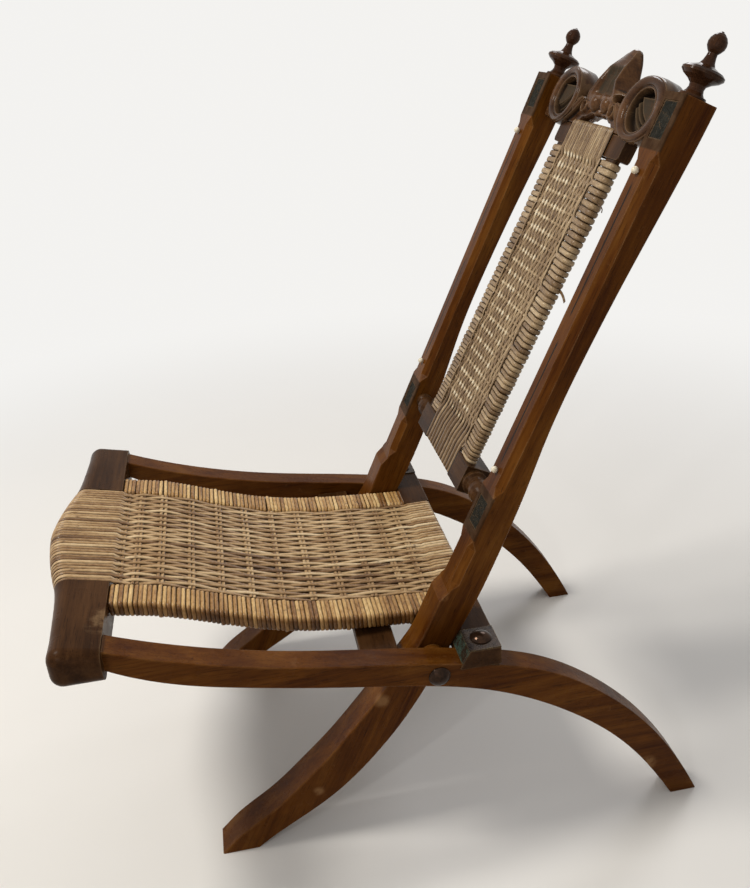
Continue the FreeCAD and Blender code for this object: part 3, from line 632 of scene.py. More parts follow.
def wrapped_rail_material(name, half_length):
    """Brown wood that is nearly black where the cane goes round it: grime, and painted shade under the cane.
    """
    n = Nodes(wood_material(name, **BROWN_WOOD))
    off_middle = n.maths("ABSOLUTE", n.parts(n.place)[0])
    n.overlay(n.ranged(off_middle, half_length * MM, (half_length + 1) * MM, 0.85, 0.0), WRAP_GRIME_AND_SHADE)
    return n.owner


def strap_material():
    """Brass gone nearly black, bright on its arrises and green on the flange."""
    n = new_nodes("strap_brass")
    cloud = n.noise(140.0, 5.0, 0.6)
    fine = n.noise(700.0, 3.0, 0.6)
    colour = n.mix(n.ranged(cloud, 0.4, 0.62), *STRAP_BRASS)
    flange = n.ranged(n.parts(n.place)[1], (REAR_FRONT_Y - 3) * MM, REAR_FRONT_Y * MM, 0.75, 0.0)
    colour = n.mix(n.times(flange, n.ranged(cloud, 0.42, 0.58)), colour, STRAP_GREEN)
    arris = n.times(n.arrises(0.0007), n.ranged(cloud, 0.4, 0.6, 0.2, 0.8))
    colour = n.mix(arris, colour, STRAP_BRIGHT)
    return n.surface(colour, n.spread(fine, 0.2, 0.36), 0.2, n.bump(fine, 0.12, 0.0003), 0.4)


def bolt_material():
    """Brown brass with a fine dark patina."""
    n = new_nodes("bolt_brass")
    cloud = n.noise(120.0, 5.0, 0.6)
    fine = n.noise(700.0, 3.0, 0.6)
    colour = n.mix(n.ranged(cloud, 0.4, 0.62), *BOLT_BRASS)
    colour = n.mix(n.ranged(fine, 0.5, 0.7, 0.0, 0.5), colour, BOLT_PATINA)
    return n.surface(colour, n.spread(cloud, 0.08, 0.16), 0.15, n.bump(fine, 0.06, 0.0003), 0.6)


def bone_material():
    n = new_nodes("bone")
    cloud = n.noise(400.0, 4.0, 0.6)
    relief = n.bump(cloud, 0.1, 0.0002)
    return n.surface(n.ramp(cloud, BONE), n.spread(cloud, 0.25, 0.4), normal=relief)


def ground_material():
    """Dark, dusty ground of the punched panels, with a browner border."""
    n = new_nodes("punched_ground")
    cloud = n.noise(160.0, 5.0, 0.6)
    fine = n.noise(900.0, 3.0, 0.6)
    colour = n.mix(n.attribute("frame"), n.ramp(cloud, PUNCHED_GROUND), PUNCHED_BORDER)
    return n.surface(colour, n.spread(fine, 0.4, 0.7), 0.05, n.bump(fine, 0.3, 0.0004))


# Seat cane

def seat_top_z(y):
    """Height of the seat's top at y: the curve of the CAD source with its corners softened."""
    ys, zs = zip(*SEAT_TOP)
    fine_ys = np.linspace(ys[0], ys[-1], 400)
    return np.interp(y, fine_ys, smoothed(columns(fine_ys, np.interp(fine_ys, ys, zs)), 60)[:, 1])


def bow_y(x):
    """Front of the bowed front rail at x."""
    xs, ys = zip(*FRONT_BOW)
    fine_x = np.linspace(0, xs[-1], 80)
    return np.interp(abs(x), fine_x, np.polyval(np.polyfit(xs, ys, 2), fine_x))


def front_wrap_line(x):
    """Round the front rail from under its rear edge to its top, as (y, z)."""
    radius = FRONT_NOSE - SEAT_INSET
    cy = bow_y(x) + FRONT_NOSE
    top_z = FRONT_TOP_Z + (FRONT_REAR_Y - cy) * math.tan(FRONT_TOP_SLOPE)
    line = [(FRONT_REAR_Y - 2, FRONT_BOTTOM_Z + SEAT_INSET)]
    line += arc(cy, FRONT_BOTTOM_Z + FRONT_NOSE, radius, 270, 180, 7)
    line += arc(cy, top_z - FRONT_NOSE / math.cos(FRONT_TOP_SLOPE), radius, 180, 77, 9)
    line.append((FRONT_REAR_Y, FRONT_TOP_Z - SEAT_INSET))
    return line


def rear_wrap_line():
    """Over the rear rail and down round it, as (y, z)."""
    foot = REAR_FRONT_Y - (REAR_TOP_Z - REAR_BOTTOM_Z) * REAR_SLOPE
    top_z, bottom_z = REAR_TOP_Z - SEAT_INSET, REAR_BOTTOM_Z + SEAT_INSET
    corner_y = REAR_BACK_Y - SEAT_INSET - WRAP_CORNER
    line = [(REAR_FRONT_Y + 4, top_z)]
    line += corner(corner_y, top_z - WRAP_CORNER, 90, 0)
    line += corner(corner_y, bottom_z + WRAP_CORNER, 0, -90)
    line.append((foot + 6, bottom_z))
    return line


def band_phase(y):
    """Counts cross bands along the seat: a whole number at each band."""
    return np.interp(y, SEAT_BAND_Y, np.arange(len(SEAT_BAND_Y)))


def rim_outward(line, centre):
    """Directions away from a centre, across a line, for a strand that wraps round a bar."""
    tangent = unit(np.gradient(line, axis=0))
    away = line - centre
    return unit(away - tangent * (away * tangent).sum(1)[:, None])


def seat_shade(x, y):
    """How much the seat's broad stains darken a place; they run over several strands."""
    return sum(dark * np.exp(-(((x - mid_x) / size_x) ** 2 + ((y - mid_y) / size_y) ** 2))
               for dark, mid_x, size_x, mid_y, size_y in SEAT_STAINS)


def seat_strands(material):
    """Strands from front to back, round the front and rear rails and over and under the bands."""
    weave = Strands(*SEAT_CANE)
    rear = resampled(rear_wrap_line(), 3.0)
    ys = np.arange(FRONT_REAR_Y + 4, REAR_FRONT_Y - 1, SEAT_STEP)
    in_field = ease(FRONT_REAR_Y + 1, SEAT_BAND_Y[0], ys) * ease(REAR_FRONT_Y, SEAT_BAND_Y[-1], ys)
    wave = LONG_SWING * np.cos(math.pi * band_phase(ys)) * in_field
    off_rail = ease(-289, -276, ys)
    middle_zs = seat_top_z(ys) - SEAT_WEAVE_DEPTH * off_rail - SEAT_INSET * (1 - off_rail)
    for i, x in enumerate(np.linspace(-SEAT_EDGE_X, SEAT_EDGE_X, SEAT_STRANDS)):
        swing = wave if i % 2 else -wave
        front = resampled(smoothed(resampled(front_wrap_line(x), 2.0), 2), 3.0)
        line = np.vstack([front, columns(ys, middle_zs + swing), rear])
        drift = 0.5 * wobble(np.arange(len(line)) * SEAT_STEP, 45)
        points = columns(x + drift, *line.T)
        outward = np.cross(X_AXIS, np.gradient(points, axis=0))
        tone = around(0.59, 0.20)
        # Where a strand dips under a cross band it is painted darker: painted shade
        dip = np.pad(np.clip(-swing, 0, None), (len(front), len(rear)))
        in_front_wrap = ease(FRONT_REAR_Y + 8, FRONT_REAR_Y - 2, points[:, 1])
        shade = tone - seat_shade(x, points[:, 1]) - 0.11 * dip - 0.08 * in_front_wrap
        weave.add(points, outward, shade, width=around(1, 0.05))
    weave.build("seat_strands", "seat", material,
                ("seat_cane_field", "seat_cane_front_wrap", "seat_cane_rear_wrap"))


def seat_under_strands(material):
    """The plain lower layer of strands, which closes the gaps of the woven one from below."""
    layer = Strands(*SEAT_UNDER_CANE)
    ys = np.arange(FRONT_REAR_Y + 2, REAR_FRONT_Y - 6, 6.0)
    zs = seat_top_z(ys) - SEAT_WEAVE_DEPTH - SEAT_UNDER_GAP
    for i in range(-1, SEAT_STRANDS):
        x = -SEAT_EDGE_X + (i + 0.5) * SEAT_PITCH
        # This layer is painted much darker than the woven strands: painted shade seen through the gaps
        layer.add(columns(x, ys, zs), (0, 0, -1), around(0.16, 0.08))
    layer.build("seat_under_strands", "seat", material)


def side_section(y, inset, radius):
    """Round the seat rail at y, from its inner top edge outward, as (x, z)."""
    high = seat_top_z(y) - inset - radius
    low = seat_top_z(y) - SEAT_THICKNESS + inset + radius
    x0, x1 = SEAT_INNER_X + inset + radius, SEAT_OUTER_X - inset - radius
    return round_bar(((x0, high), (x1, high), (x1, low), (x0, low)), 180, -90, (5, 6, 5, 5), radius)


def seat_bands(material):
    """Pairs of strands across the seat, over and under the long ones."""
    bands = Strands(*SEAT_BAND_CANE)
    half_pair = SEAT_BAND_CANE[0] / 2
    xs = np.linspace(-SEAT_EDGE_X - 2, SEAT_EDGE_X + 2, SEAT_STRANDS * 5 + 1)
    wave = BAND_SWING * np.cos(math.pi * (xs + SEAT_EDGE_X) / SEAT_PITCH)
    for k, y in enumerate(SEAT_BAND_Y):
        for offset in (-half_pair, half_pair):
            ys = y + offset + 0.75 * wobble(xs + 110, 60)
            zs = seat_top_z(ys) - SEAT_WEAVE_DEPTH + (-wave if k % 2 else wave)
            bands.add(columns(xs, ys, zs), (0, 0, 1), around(0.5, 0.12))
    bands.build("seat_cross_bands", "seat", material)


def seat_side_wraps(side, material):
    """Wraps round a seat rail; those at every other band are cross strands that come out over them."""
    wraps = Strands(*SIDE_WRAP_CANE)
    start, end = FRONT_REAR_Y + 3.0, REAR_FRONT_Y - 2.0
    pitch = (end - start) / (SIDE_WRAPS - 1)
    centre_x = (SEAT_INNER_X + SEAT_OUTER_X) / 2
    over = {int(round((y - start) / pitch)) for y in SEAT_BAND_Y[2::2]}
    for i in range(SIDE_WRAPS):
        y = start + i * pitch
        proud = i in over
        section = resampled(side_section(y, 0.2 if proud else 0.95, 4.2), 2.6)
        turn = np.linspace(0, 1, len(section))
        lead = pitch * ease(0.45, 0.95, turn)
        skew = around(0, 0.5) * (1 - turn) + (1.8 if proud else 0.0) * (0.5 - np.minimum(turn, 0.5))
        line = columns(side * section[:, 0], y + lead + skew, section[:, 1])
        line[:, 2] += seat_top_z(line[:, 1]) - seat_top_z(y)
        centre = columns(side * centre_x, line[:, 1], seat_top_z(line[:, 1]) - SEAT_THICKNESS / 2)
        tone = around(0.56, 0.10) + (0.08 if proud else 0.0)
        tone += RANDOM.choice([0.16, 0.0, -0.18], p=[0.12, 0.72, 0.16])
        # The outer face and the underside of each wrap are painted darker: painted shade
        outer = ease(140, 145, section[:, 0]) + 0.6 * ease(0.45, 0.6, turn)
        wraps.add(line, rim_outward(line, centre), tone - 0.28 * np.clip(outer, 0, 1))
    name = side_name(side)
    wraps.build("seat_side_wraps_" + name, "seat", material, ("seat_cane_wrap_" + name,))


# Back cane

def back_half_width(v):
    return STILE_INNER_X + STILE_SPLAY * np.clip(v / LOWER_TOP_V, 0, 1)


def top_wrap_line():
    """Up the back of the top rail and over it to its front, as (p, v)."""
    edge = BACK_INSET + WRAP_CORNER
    line = [(TOP_DEPTH - BACK_INSET, -TOP_HEIGHT + 2)]
    line += corner(TOP_DEPTH - edge, -edge, 0, 90)
    line += corner(edge, -edge, 90, 180)
    line.append((BACK_INSET, -TOP_HEIGHT + 3))
    return resampled(line, 2.5)


def bottom_wrap_line():
    """Down the front of the lower rail, under it and up its back to its top, as (p, v)."""
    edge = BACK_INSET + WRAP_CORNER
    back, low = LOWER_DEPTH - edge, LOWER_TOP_V - LOWER_HEIGHT + edge
    line = [(BACK_INSET, LOWER_TOP_V + 2)]
    line += corner(edge, low, 180, 270)
    line += corner(back, low, 270, 360)
    line.append((LOWER_DEPTH - BACK_INSET, LOWER_TOP_V - 4))
    line += corner(back, LOWER_TOP_V - edge, 0, 90)
    line.append((7, LOWER_TOP_V - BACK_INSET))
    return resampled(line, 2.5)


def back_strands(material):
    """Upright strands from behind the top rail, down the field and round the lower rail.

    Above the lower rail they fan: every other one goes thin and behind, and the rest widen.
    """
    weave = Strands(*BACK_CANE)
    top, low = top_wrap_line(), bottom_wrap_line()
    vs = np.arange(-TOP_HEIGHT - 0.5, LOWER_TOP_V + 6, -BACK_STEP)
    fade = ease(-33, -39, vs) * ease(-374, -360, vs)
    pull = ease(-33, -42, vs) * ease(-382, -362, vs)
    wave = np.cos(math.pi * (vs - BACK_BANDS_V[0]) / -BACK_BAND_PITCH)
    count = len(top) + len(vs) + len(low)
    along = np.arange(count) * BACK_STEP
    for i in range(BACK_STRANDS):
        share = (i - (BACK_STRANDS - 1) / 2) / (BACK_STRANDS / 2)
        behind = i % 2
        sign = 1 if behind else -1
        ps = BACK_INSET + (BACK_WEAVE_DEPTH - BACK_INSET) * pull - sign * BACK_SWING * wave * fade
        line = np.vstack([top, columns(ps, vs), low])
        xs = share * back_half_width(line[:, 1])
        fan = ease(-345, -368, line[:, 1]) * (np.arange(count) < len(top) + len(vs) + 16)
        line[:, 0] += (0.8 if behind else -0.1) * fan
        in_wrap = ease(-37, -30, line[:, 1])
        parted = sum(0.55 * math.copysign(math.exp(-abs(i - gap) / 1.2), i - gap) for gap in TOP_WRAP_GAPS)
        xs = xs - sign * 1.3 * fan + parted * in_wrap
        xs = xs + 0.35 * wobble(along, 40)
        points = on_panel(columns(xs, *line.T))
        outward = np.cross(np.gradient(points, axis=0), X_AXIS)
        # Painted highlight: in the middle of the field, the crowns where upright strands pass over a band
        # are painted paler
        crown = np.pad(np.clip(sign * wave, 0, 1) ** 4 * fade, (len(top), len(low)))
        in_middle = ease(0.95, -0.05, share) * ease(-1.0, -0.70, share)
        rubbed = 0.66 * crown * in_middle * np.clip(0.8 + 0.5 * wobble(along, 30), 0, 1)
        # In the fan every strand is a little darker, and those set behind are painted darker still: painted
        # shade
        tone = around(0.44, 0.13) - (0.05 + 0.25 * behind) * fan + rubbed
        weave.add(points, outward, tone, width=around(1, 0.05) + (-0.25 if behind else 0.42) * fan)
    weave.build("back_strands", "back", material,
                ("back_cane_field", "back_cane_top_wrap", "back_cane_bottom_wrap"))


def back_under_strands(material):
    """A plain layer behind the back's weave, which closes its gaps."""
    layer = Strands(*BACK_UNDER_CANE)
    vs = np.arange(-TOP_HEIGHT - 4, LOWER_TOP_V, -6.0)
    for i in range(1, BACK_STRANDS):
        share = i / (BACK_STRANDS / 2) - 1
        line = on_panel(columns(share * back_half_width(vs), BACK_WEAVE_DEPTH + BACK_UNDER_GAP, vs))
        # This layer is painted dark as the shade seen through the weave's gaps, and darker still towards the
        # bottom, where the fan parts: painted shade
        tone = around(0.22, 0.1) - 0.4 * ease(-342, -354, vs)
        layer.add(line, PANEL_DEPTH_AXIS, tone)
    layer.build("back_under_strands", "back", material)


def back_bands(material):
    """Thin strands across the back's field, over and under the upright ones."""
    bands = Strands(*BACK_BAND_CANE)
    for k, v in [(0, BACK_BANDS_V[0] + 3.2), *enumerate(BACK_BANDS_V)]:
        half = back_half_width(v) + 2.5
        xs = np.linspace(-half, half, BACK_STRANDS * 5 + 1)
        place = (xs / back_half_width(v)) * (BACK_STRANDS / 2) + (BACK_STRANDS - 1) / 2
        swing = BACK_BAND_SWING * np.cos(math.pi * place) * (1 if k % 2 else -1)
        vs = v + 0.8 * wobble(xs + 60, 45)
        points = on_panel(columns(xs, BACK_WEAVE_DEPTH + swing, vs))
        bands.add(points, -PANEL_DEPTH_AXIS, around(0.5, 0.12))
    bands.build("back_cross_bands", "back", material)


def stile_section(v, inset, reach):
    """Round a back stile from its inner back edge over the front, as (x, p); reach pulls it inward."""
    shift = back_half_width(v) - STILE_INNER_X
    r = STILE_ROUND - inset
    x0, x1 = STILE_INNER_X + shift + inset - reach + r, STILE_OUTER_X + shift - inset - r
    p0, p1 = STILE_P[0] + inset + r, STILE_P[1] - inset - r
    return round_bar(((x0, p1), (x0, p0), (x1, p0), (x1, p1)), 90, 90, (5, 6, 6, 5), r)


def stile_wrap_heights():
    """Heights and widths of the wraps on a stile; they are wider near the top."""
    t = np.linspace(0, 1, STILE_WRAPS)
    top, low = -TOP_HEIGHT - 3.0, LOWER_TOP_V + 2.5
    heights = top + (low - top) * (1.22 * t - 0.22 * t * t)
    return heights, (top - low) / STILE_WRAPS * (1.22 - 0.44 * t)


def lacing(heights):
    """The thin strand along a stile's inner edge, as (x, p, v); it goes under every sixth wrap."""
    vs = np.arange(-TOP_HEIGHT, LOWER_TOP_V + 4, -2.0)
    dip = sum(np.exp(-((vs - height) / 4.0) ** 2) for height in heights[3::6])
    xs = STILE_INNER_X + 0.3 + STILE_SPLAY * vs / LOWER_TOP_V + dip
    return columns(xs, 0.9 + 1.6 * np.clip(dip, 0, 1), vs)


def stile_wraps(side, material):
    """Fat wraps round a back stile, with a thin strand laced along its inner edge.

    Two ends of cane have come away from the left one: a broad stub and a thin hook.
    """
    wraps = Strands(*STILE_WRAP_CANE)
    mirror = (side, 1, 1)
    heights, pitches = stile_wrap_heights()
    for i, (v, pitch) in enumerate(zip(heights, pitches)):
        inset, reach = (0.6, 1.6) if i % 6 == 3 else (1.1, 0.0)
        section = resampled(stile_section(v, inset, reach), 2.2)
        turn = np.linspace(0, 1, len(section))
        drop = around(-1.2, 0.4) * ease(0.1, 0.65, turn) - pitch * ease(0.7, 1.0, turn)
        line = on_panel(columns(*section.T, v + drop) * mirror)
        middle = (STILE_INNER_X + STILE_OUTER_X) / 2 + STILE_SPLAY * v / LOWER_TOP_V
        centre = on_panel(columns(middle, sum(STILE_P) / 2, v + drop) * mirror)
        wraps.add(line, rim_outward(line, centre), around(0.53, 0.11), width=pitch * 0.96)
    wraps.add(on_panel(lacing(heights) * mirror), -PANEL_DEPTH_AXIS, 0.62, width=3.4, thickness=0.5)
    if side > 0:
        stub = on_panel([(82, 12, -169), (88, 13, -170.5), (95, 13, -172.5), (103, 13, -176)])
        wraps.add(stub, -PANEL_DEPTH_AXIS, 0.30, width=3.4, thickness=0.45)
        hook = on_panel([(84, 5, -72.5), (92, 4, -74.5), (99, 4, -75), (104, 4, -77), (106, 4, -80)])
        wraps.add(hook, -PANEL_DEPTH_AXIS, 0.22, width=1.3, thickness=0.4)
    name = side_name(side)
    wraps.build("back_side_wraps_" + name, "back", material, ("back_cane_wrap_" + name,))


# Carved crest rail and the sunk panels of the posts

def oval(x, w, centre, radii):
    """1 on the oval, less inside it."""
    return np.hypot((x - centre[0]) / radii[0], (w - centre[1]) / radii[1])


def half_circle(share):
    """Height of a half circle over its half width."""
    return np.sqrt(np.clip(1 - share ** 2, 0, 1))


def ridge(distance, width):
    """A sharp crest that falls off to both sides."""
    return np.exp(-np.abs(distance / width) ** 1.5)


def crest_outline(x):
    """Lower and upper edge of the crest at each x: leaf and scrolls above, a cusped arch below."""
    a = np.abs(x)
    scroll = half_circle((a - SCROLL[0]) / SCROLL_OUTER[0])
    high = np.where(a < LEAF_BACK[-1][0], np.interp(a, *zip(*LEAF_BACK)), LEAF_BACK[-1][1])
    high = np.where(scroll > 0, np.maximum(high, SCROLL[1] + SCROLL_OUTER[1] * scroll), high)
    arch_half, arch_foot, arch_rise = ARCH
    arch = arch_foot + arch_rise * half_circle(a / arch_half)
    cusps = 1.8 * np.abs(np.cos(math.pi * a / 19)) * ease(44, 36, a)
    low = np.where(a < arch_half, np.maximum(arch - 1.6 + cusps, CREST_LOW_W), CREST_LOW_W)
    low = np.where(scroll > 0.75, np.minimum(low, SCROLL[1] - SCROLL_OUTER[1] * scroll), low)
    return low, high


def leaf_depth(a, w):
    """Half of the pointed leaf: a scoop between sharp rims, and thick sides that widen to its back."""
    rim_w, rim_x, rim_d = zip(*LEAF_RIM)
    edge = np.interp(w, rim_w, rim_x)
    rim = np.interp(w, rim_w, rim_d)
    back_x, back_w = zip(*LEAF_BACK)
    outer = np.maximum(np.interp(w, back_w[::-1], back_x[::-1]), edge + 1.0)
    share = a / edge
    scoop = 5.6 * ease(24, 12, w) * ease(-16, -6, w)
    inside = rim + scoop * (1 - ease(0.50, 0.86, share)) + 0.5 * ease(0.97, 0.90, share)
    inside -= 1.2 * ridge(a, 1.6) * ease(22, 16, w) + 2.2 * (1 - share ** 2) * ease(20, 28, w)
    beyond = np.clip((a - edge) / (outer - edge), 0, 1)
    side = rim + (CREST_BACK_D - 1 - rim) * beyond ** 1.15
    return np.where(share < 1, inside, side)


def hollow_depth(a, w):
    """What fills the ring's hollow: two thin crescents, then a broad petal below a deep shadow."""
    across, up = a - HOLLOW[0], w - HOLLOW[1]
    u = across * math.cos(HOLLOW_TURN) + up * math.sin(HOLLOW_TURN)
    v = up * math.cos(HOLLOW_TURN) - across * math.sin(HOLLOW_TURN)
    bent = v - 0.010 * u ** 2
    depth = 20.0 + 5.0 * ease(-6, 0, w)
    for place, height in HOLLOW_CRESCENTS:
        depth = depth - height * ease(21, 14, np.abs(u)) * ridge(bent - place, 1.3)
    petal = np.minimum(np.minimum(bent + 1.5, -5.5 - w), 21 - u)
    return np.where(petal > 0, np.minimum(depth, 15.5 - 1.6 * ridge(petal, 1.8)), depth)


def scroll_depth(a, w):
    """The oval ring: a rounded band with a thin lip on each edge, round its hollow."""
    outer = oval(a, w, SCROLL, SCROLL_OUTER)
    inner = oval(a, w, HOLLOW, HOLLOW_RADII)
    gap_in, gap_out = np.clip(inner - 1, 0, 9) * 23, np.clip(1 - outer, 0, 9) * 40
    across = gap_in / np.maximum(gap_in + gap_out, 1e-6)
    centre_side = ease(20, -20, a - SCROLL[0])
    band = 9.8 - 2.8 * across * centre_side - 2.4 * np.sin(math.pi * across)
    band += 1.9 * ridge(across - 0.15, 0.065) + 1.6 * ridge(across - 0.84, 0.06)
    band += 7.0 * ease(0.92, 1.0, across) ** 2
    inside = RING_INNER_D + (hollow_depth(a, w) - RING_INNER_D) * ease(1.0, 0.95, inner)
    return np.where(outer < 1, np.where(inner < 1, inside, band), NOTHING)


def blade_depth(a, w):
    """The small leaf that lies along the ring's lower inner side, and the curl where it starts."""
    run = np.subtract(BLADE_TIP, BLADE_START)
    length = np.hypot(*run)
    right, up = a - BLADE_START[0], w - BLADE_START[1]
    along = (right * run[0] + up * run[1]) / length
    across = (up * run[0] - right * run[1]) / length
    half = BLADE_HALF_WIDTH * np.sin(math.pi * np.clip(along / length, 0.001, 0.999)) ** 0.5
    share = np.abs(across) / half
    blade = 7.2 + 2.2 * np.sin(math.pi * np.clip(share, 0, 1)) ** 2 + 1.2 * share ** 6
    blade = np.where((share < 1) & (along > 0) & (along < length), blade, NOTHING)
    from_curl = np.hypot(a - CURL[0], w - CURL[1])
    curl = 15.5 - 6.5 * ridge(from_curl - 6.0, 2.0) - 3.5 * ridge(from_curl, 2.0)
    return np.minimum(blade, np.where(from_curl < CURL_RADIUS, curl, NOTHING))


def crest_depth(x, w):
    """Depth of the carving's surface behind the posts' front, at each place."""
    a = np.abs(x)
    in_leaf = ease(-26, LEAF_FOOT_W, w)
    depth = leaf_depth(a, w) * in_leaf + 14.5 * (1 - in_leaf)
    for cx, cw, radius, rise in BOSSES:
        off = np.hypot(a - cx, w - cw) / radius
        depth = np.where(off < 1, np.minimum(depth, 15.0 - rise * half_circle(off)), depth)
    depth += 6.0 * ridge(np.hypot(a / 5.0, (w + 25) / 6.0), 0.9)
    depth = np.minimum(depth, blade_depth(a, w))
    ring = scroll_depth(a, w)
    depth = np.where(ring < NOTHING, ring, depth)
    pierced = ease(1.15, 0.85, oval(a, w, HOLE, HOLE_RADII)) * (a < SCROLL[0] - SCROLL_OUTER[0])
    return depth + (CREST_BACK_D - 4 - depth) * pierced


def blurred(field, rounds):
    """A grid of values softened both ways; its outermost rows stay."""
    field = field.copy()
    for _ in range(rounds):
        field[:, 1:-1] = 0.25 * field[:, :-2] + 0.5 * field[:, 1:-1] + 0.25 * field[:, 2:]
        field[1:-1] = 0.25 * field[:-2] + 0.5 * field[1:-1] + 0.25 * field[2:]
    return field


def carving_marks(x, w, depth):
    """How dusty and how rubbed the carving is at each place, and how dark its grooves and recesses are with
    grime and painted shade, from its relief.
    """
    rim_w, rim_x, _ = zip(*LEAF_RIM)
    in_leaf = ease(1.0, 0.85, np.abs(x) / np.interp(w, rim_w, rim_x)) * (w > LEAF_FOOT_W)
    in_scroll = ease(1.0, 0.95, oval(np.abs(x), w, HOLLOW, HOLLOW_RADII))
    dust = ease(10.5, 13.0, depth) * ease(24, 18, w) * np.maximum(in_leaf, in_scroll)
    relief = blurred(depth, 10) - depth
    # Grooves and sunk places: grime and painted shade
    sunk = ease(1.0, 5.0, depth - blurred(depth, 60))
    groove = np.maximum(ease(0.10, 0.7, -relief), 0.8 * sunk)
    return {"dust": dust, "arris": ease(0.10, 0.55, relief), "groove": groove}


def grid_faces(index):
    """Four-sided faces between neighbours of a grid of point numbers."""
    corners = (index[:-1, :-1], index[1:, :-1], index[1:, 1:], index[:-1, 1:])
    return np.stack(corners, -1).reshape(-1, 4).tolist()


def carved_crest(material):
    """The whole crest as rings of points, one for each x, up its carved front and down its back."""
    half_count, front_count, back_count = CREST_GRID
    half = np.linspace(-CREST_END_X, 0, half_count)
    xs = np.concatenate([half, -half[-2::-1]])
    low, high = (smoothed(columns(xs, edge), 2)[:, 1:] for edge in crest_outline(xs))
    w = low + (high - low) * np.linspace(0, 1, front_count)
    x = np.broadcast_to(xs[:, None], w.shape)
    depth = blurred(crest_depth(x, w), 1)
    rim = np.minimum(w - low, high - w)
    depth = np.clip(depth + 2.2 * (1 - ease(0, 2.4, rim)) ** 2, 5.0, CREST_BACK_D - 2)
    back_share = np.linspace(1, 0, back_count)
    back_w = low + (high - low) * np.clip(back_share, 0.01, 0.99)
    back_d = np.broadcast_to(CREST_BACK_D - 1.6 * (np.abs(back_share - 0.5) > 0.49), back_w.shape)
    all_w = np.hstack([w, back_w])
    points = on_post(np.repeat(xs, all_w.shape[1]), np.hstack([depth, back_d]), all_w)
    index = np.arange(all_w.size).reshape(all_w.shape)
    faces = grid_faces(np.hstack([index, index[:, :1]])) + [index[0].tolist(), index[-1, ::-1].tolist()]
    kept = {key: np.hstack([values, np.zeros_like(back_w)]).ravel()
            for key, values in carving_marks(x, w, depth).items()}
    new_piece("carved_crest", "back", material, points, faces, kept, ("crest_rail",))


def punched_panel(side, low, high):
    """One punched ground as (points, faces, framing); framing is 1 along its border."""
    across, up = SUNK_PANEL_GRID
    u, t = np.meshgrid(np.linspace(-0.5, 0.5, across), np.linspace(0, 1, up), indexing="ij")
    x = side * POST_MIDDLE_X + u * (SUNK_PANEL_WIDTH - 2 * SUNK_PANEL_PLAY)
    w = low + SUNK_PANEL_PLAY + t * (high - low - 2 * SUNK_PANEL_PLAY)
    dents = np.zeros_like(x)
    for _ in range(PUNCH_DENTS):
        cx = side * POST_MIDDLE_X + around(0, 0.5) * SUNK_PANEL_WIDTH
        cw = RANDOM.uniform(low, high)
        dents = np.maximum(dents, np.exp(-((x - cx) ** 2 + (w - cw) ** 2) / PUNCH_RADIUS ** 2))
    border = np.minimum(SUNK_PANEL_WIDTH * (0.5 - np.abs(u)), (high - low) * np.minimum(t, 1 - t))
    depth = SUNK_PANEL_DEPTH - 0.75 + 0.6 * dents - 0.35 * (1 - ease(0.2, 2.2, border))
    front = on_post(x, depth, w)
    index = np.arange(x.size).reshape(x.shape)
    rim = np.concatenate([index[:, 0], index[-1, 1:], index[-2::-1, -1], index[0, -2:0:-1]])
    back = np.arange(len(rim)) + x.size
    sides = columns(np.roll(rim, -1), rim, back, np.roll(back, -1))
    faces = grid_faces(index) + sides.tolist() + [back.tolist()]
    framing = np.append(1 - ease(0.6, 1.6, border), np.ones(len(rim)))
    return np.vstack([front, front[rim] + 0.7 * DEPTH_AXIS]), faces, framing


def punched_panels(material):
    """Dark punched grounds that lie in the sunk panels of the four post blocks."""
    points, faces, framing = np.zeros((0, 3)), [], []
    for side in (1, -1):
        for low, high in (UPPER_BLOCK_W, MIDDLE_BLOCK_W):
            panel = punched_panel(side, low + SUNK_PANEL_MARGIN, high - SUNK_PANEL_MARGIN)
            faces += [[len(points) + number for number in face] for face in panel[1]]
            points = np.vstack([points, panel[0]])
            framing += panel[2].tolist()
    new_piece("post_panels", "back", material, points, faces, {"frame": framing})


# Light, floor and camera

def make_camera():
    data = bpy.data.cameras.new("camera")
    data.lens = CAMERA_LENS
    camera = new_object("camera", data)
    turn = Matrix((CAMERA_RIGHT, CAMERA_UP, CAMERA_BACK)).transposed()
    camera.matrix_world = Matrix.Translation(CAMERA_PLACE) @ turn.to_4x4()
    bpy.context.scene.camera = camera


def soft_lamp(name, place, target, size, power, colour):
    data = bpy.data.lights.new(name, "AREA")
    data.shape = "DISK"
    data.size = size
    data.energy = power
    data.color = colour
    lamp = new_object(name, data)
    lamp.location = place
    lamp.rotation_euler = (Vector(target) - Vector(place)).to_track_quat("-Z", "Y").to_euler()


def make_world():
    """Soft even light, with the backdrop's colour where it is seen."""
    world = bpy.data.worlds.new("studio")
    bpy.context.scene.world = world
    n = Nodes(world)
    light = n.node("Background", {0: WORLD_COLOUR, 1: WORLD_STRENGTH})
    backdrop = n.node("Background", {0: BACKDROP, 1: 1.0})
    mixed = n.node("MixShader", {0: n.seen_by_eye(), 1: light, 2: backdrop})
    n.put(n.tree.nodes["World Output"].inputs[0], mixed)


def floor_material():
    """Pale and dull near the chair; further out it takes the backdrop's colour."""
    n = new_nodes("floor")
    n.surface(n.ramp(n.noise(3.0), FLOOR_TONES), 0.8, 0.2)
    away = {0: n.measured("LENGTH", n.place), 1: FLOOR_FADE[0], 2: FLOOR_FADE[1]}
    far = n.node("MapRange", away, interpolation_type="SMOOTHSTEP")
    glow = n.node("Emission", {"Color": BACKDROP, "Strength": 1.0})
    mixed = n.node("MixShader", {0: n.times(far, n.seen_by_eye()), 1: n.shader.outputs[0], 2: glow})
    n.put(n.tree.nodes["Material Output"].inputs[0], mixed)
    return n.owner


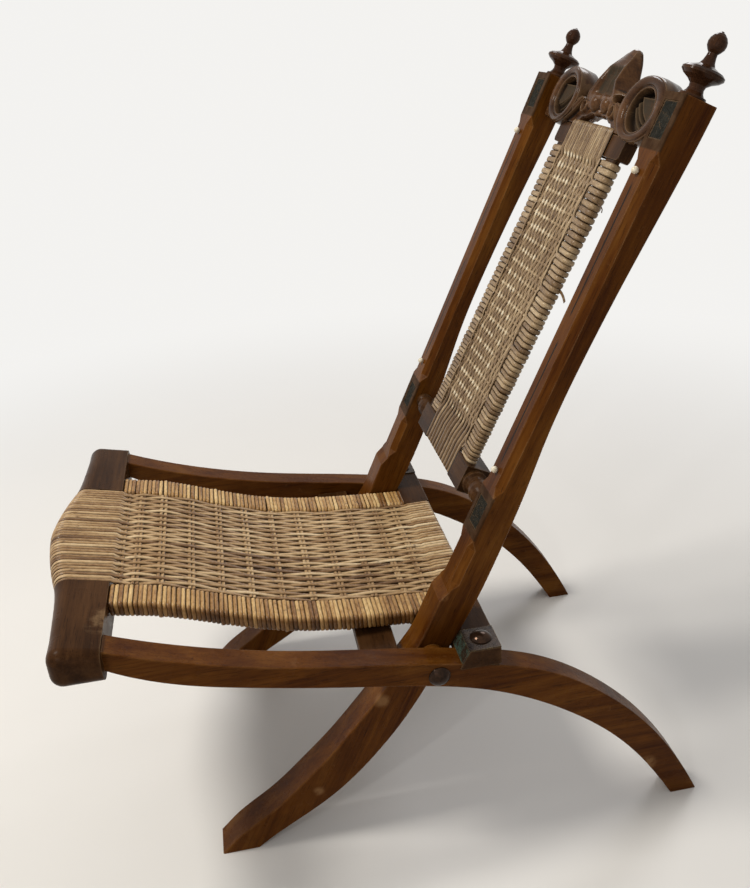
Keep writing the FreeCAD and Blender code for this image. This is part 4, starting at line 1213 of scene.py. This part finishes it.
def make_studio():
    make_world()
    for lamp in LAMPS:
        soft_lamp(*lamp)
    bpy.ops.mesh.primitive_plane_add(size=FLOOR_SIZE, location=(0, 0, 0))
    floor = bpy.context.object
    floor.name = "floor"
    floor.data.materials.append(floor_material())
    bpy.context.scene.view_settings.view_transform = "Standard"


def dress_nodes():
    """Finishes for the CAD nodes that stay."""
    finishes = (
        (post_material(), both("post")),
        (wood_material("rail_wood", **RED_WOOD, grain_turn=GRAIN_ALONG_Y, marks=RAIL_MARKS),
         (*both("side_rail"), "pivot_spacers")),
        (wood_material("cross_wood", **BROWN_WOOD), ("rear_rail", "middle_rail")),
        (wood_material("front_rail_wood", **BROWN_WOOD, marks=FRONT_RAIL_MARKS, rough=(0.22, 0.40)),
         ("front_rail",)),
        (wrapped_rail_material("lower_rail_wood", LOWER_WRAP_HALF_LENGTH), ("back_lower_rail",)),
        (wrapped_rail_material("top_rail_wood", TOP_WRAP_HALF_LENGTH), ("back_top_rail",)),
        (wood_material("stile_wood", **BROWN_WOOD, grain_turn=GRAIN_UP_POSTS), both("back_stile")),
        (wood_material("seat_rail_wood", **BROWN_WOOD, grain_turn=GRAIN_ALONG_Y), both("seat_rail")),
        (wood_material("finial_wood", **TURNED_WOOD, grain_turn=GRAIN_UP_POSTS, rough=(0.08, 0.16),
                       wear=0.25, shine=TURNED_SHINE), both("finial")),
        (strap_material(), both("stop_strap")),
        (bolt_material(), ("stop_bolts", "stop_nuts", "pivot_bolts", "pivot_nuts")),
        (bone_material(), ("post_buttons",)),
    )
    for material, names in finishes:
        for name in names:
            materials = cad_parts[name].data.materials
            materials.clear()
            materials.append(material)


def main():
    make_camera()
    make_studio()
    dress_nodes()
    cane = cane_material("cane", CANE_STOPS)
    back_cane = cane_material("back_cane", BACK_CANE_STOPS)
    side_cane = cane_material("side_cane", SIDE_CANE_STOPS)
    carved_crest(carving_material())
    punched_panels(ground_material())
    seat_strands(cane)
    seat_bands(cane)
    seat_under_strands(cane)
    back_strands(back_cane)
    back_bands(back_cane)
    back_under_strands(back_cane)
    for side in (1, -1):
        seat_side_wraps(side, side_cane)
        stile_wraps(side, back_cane)


main()
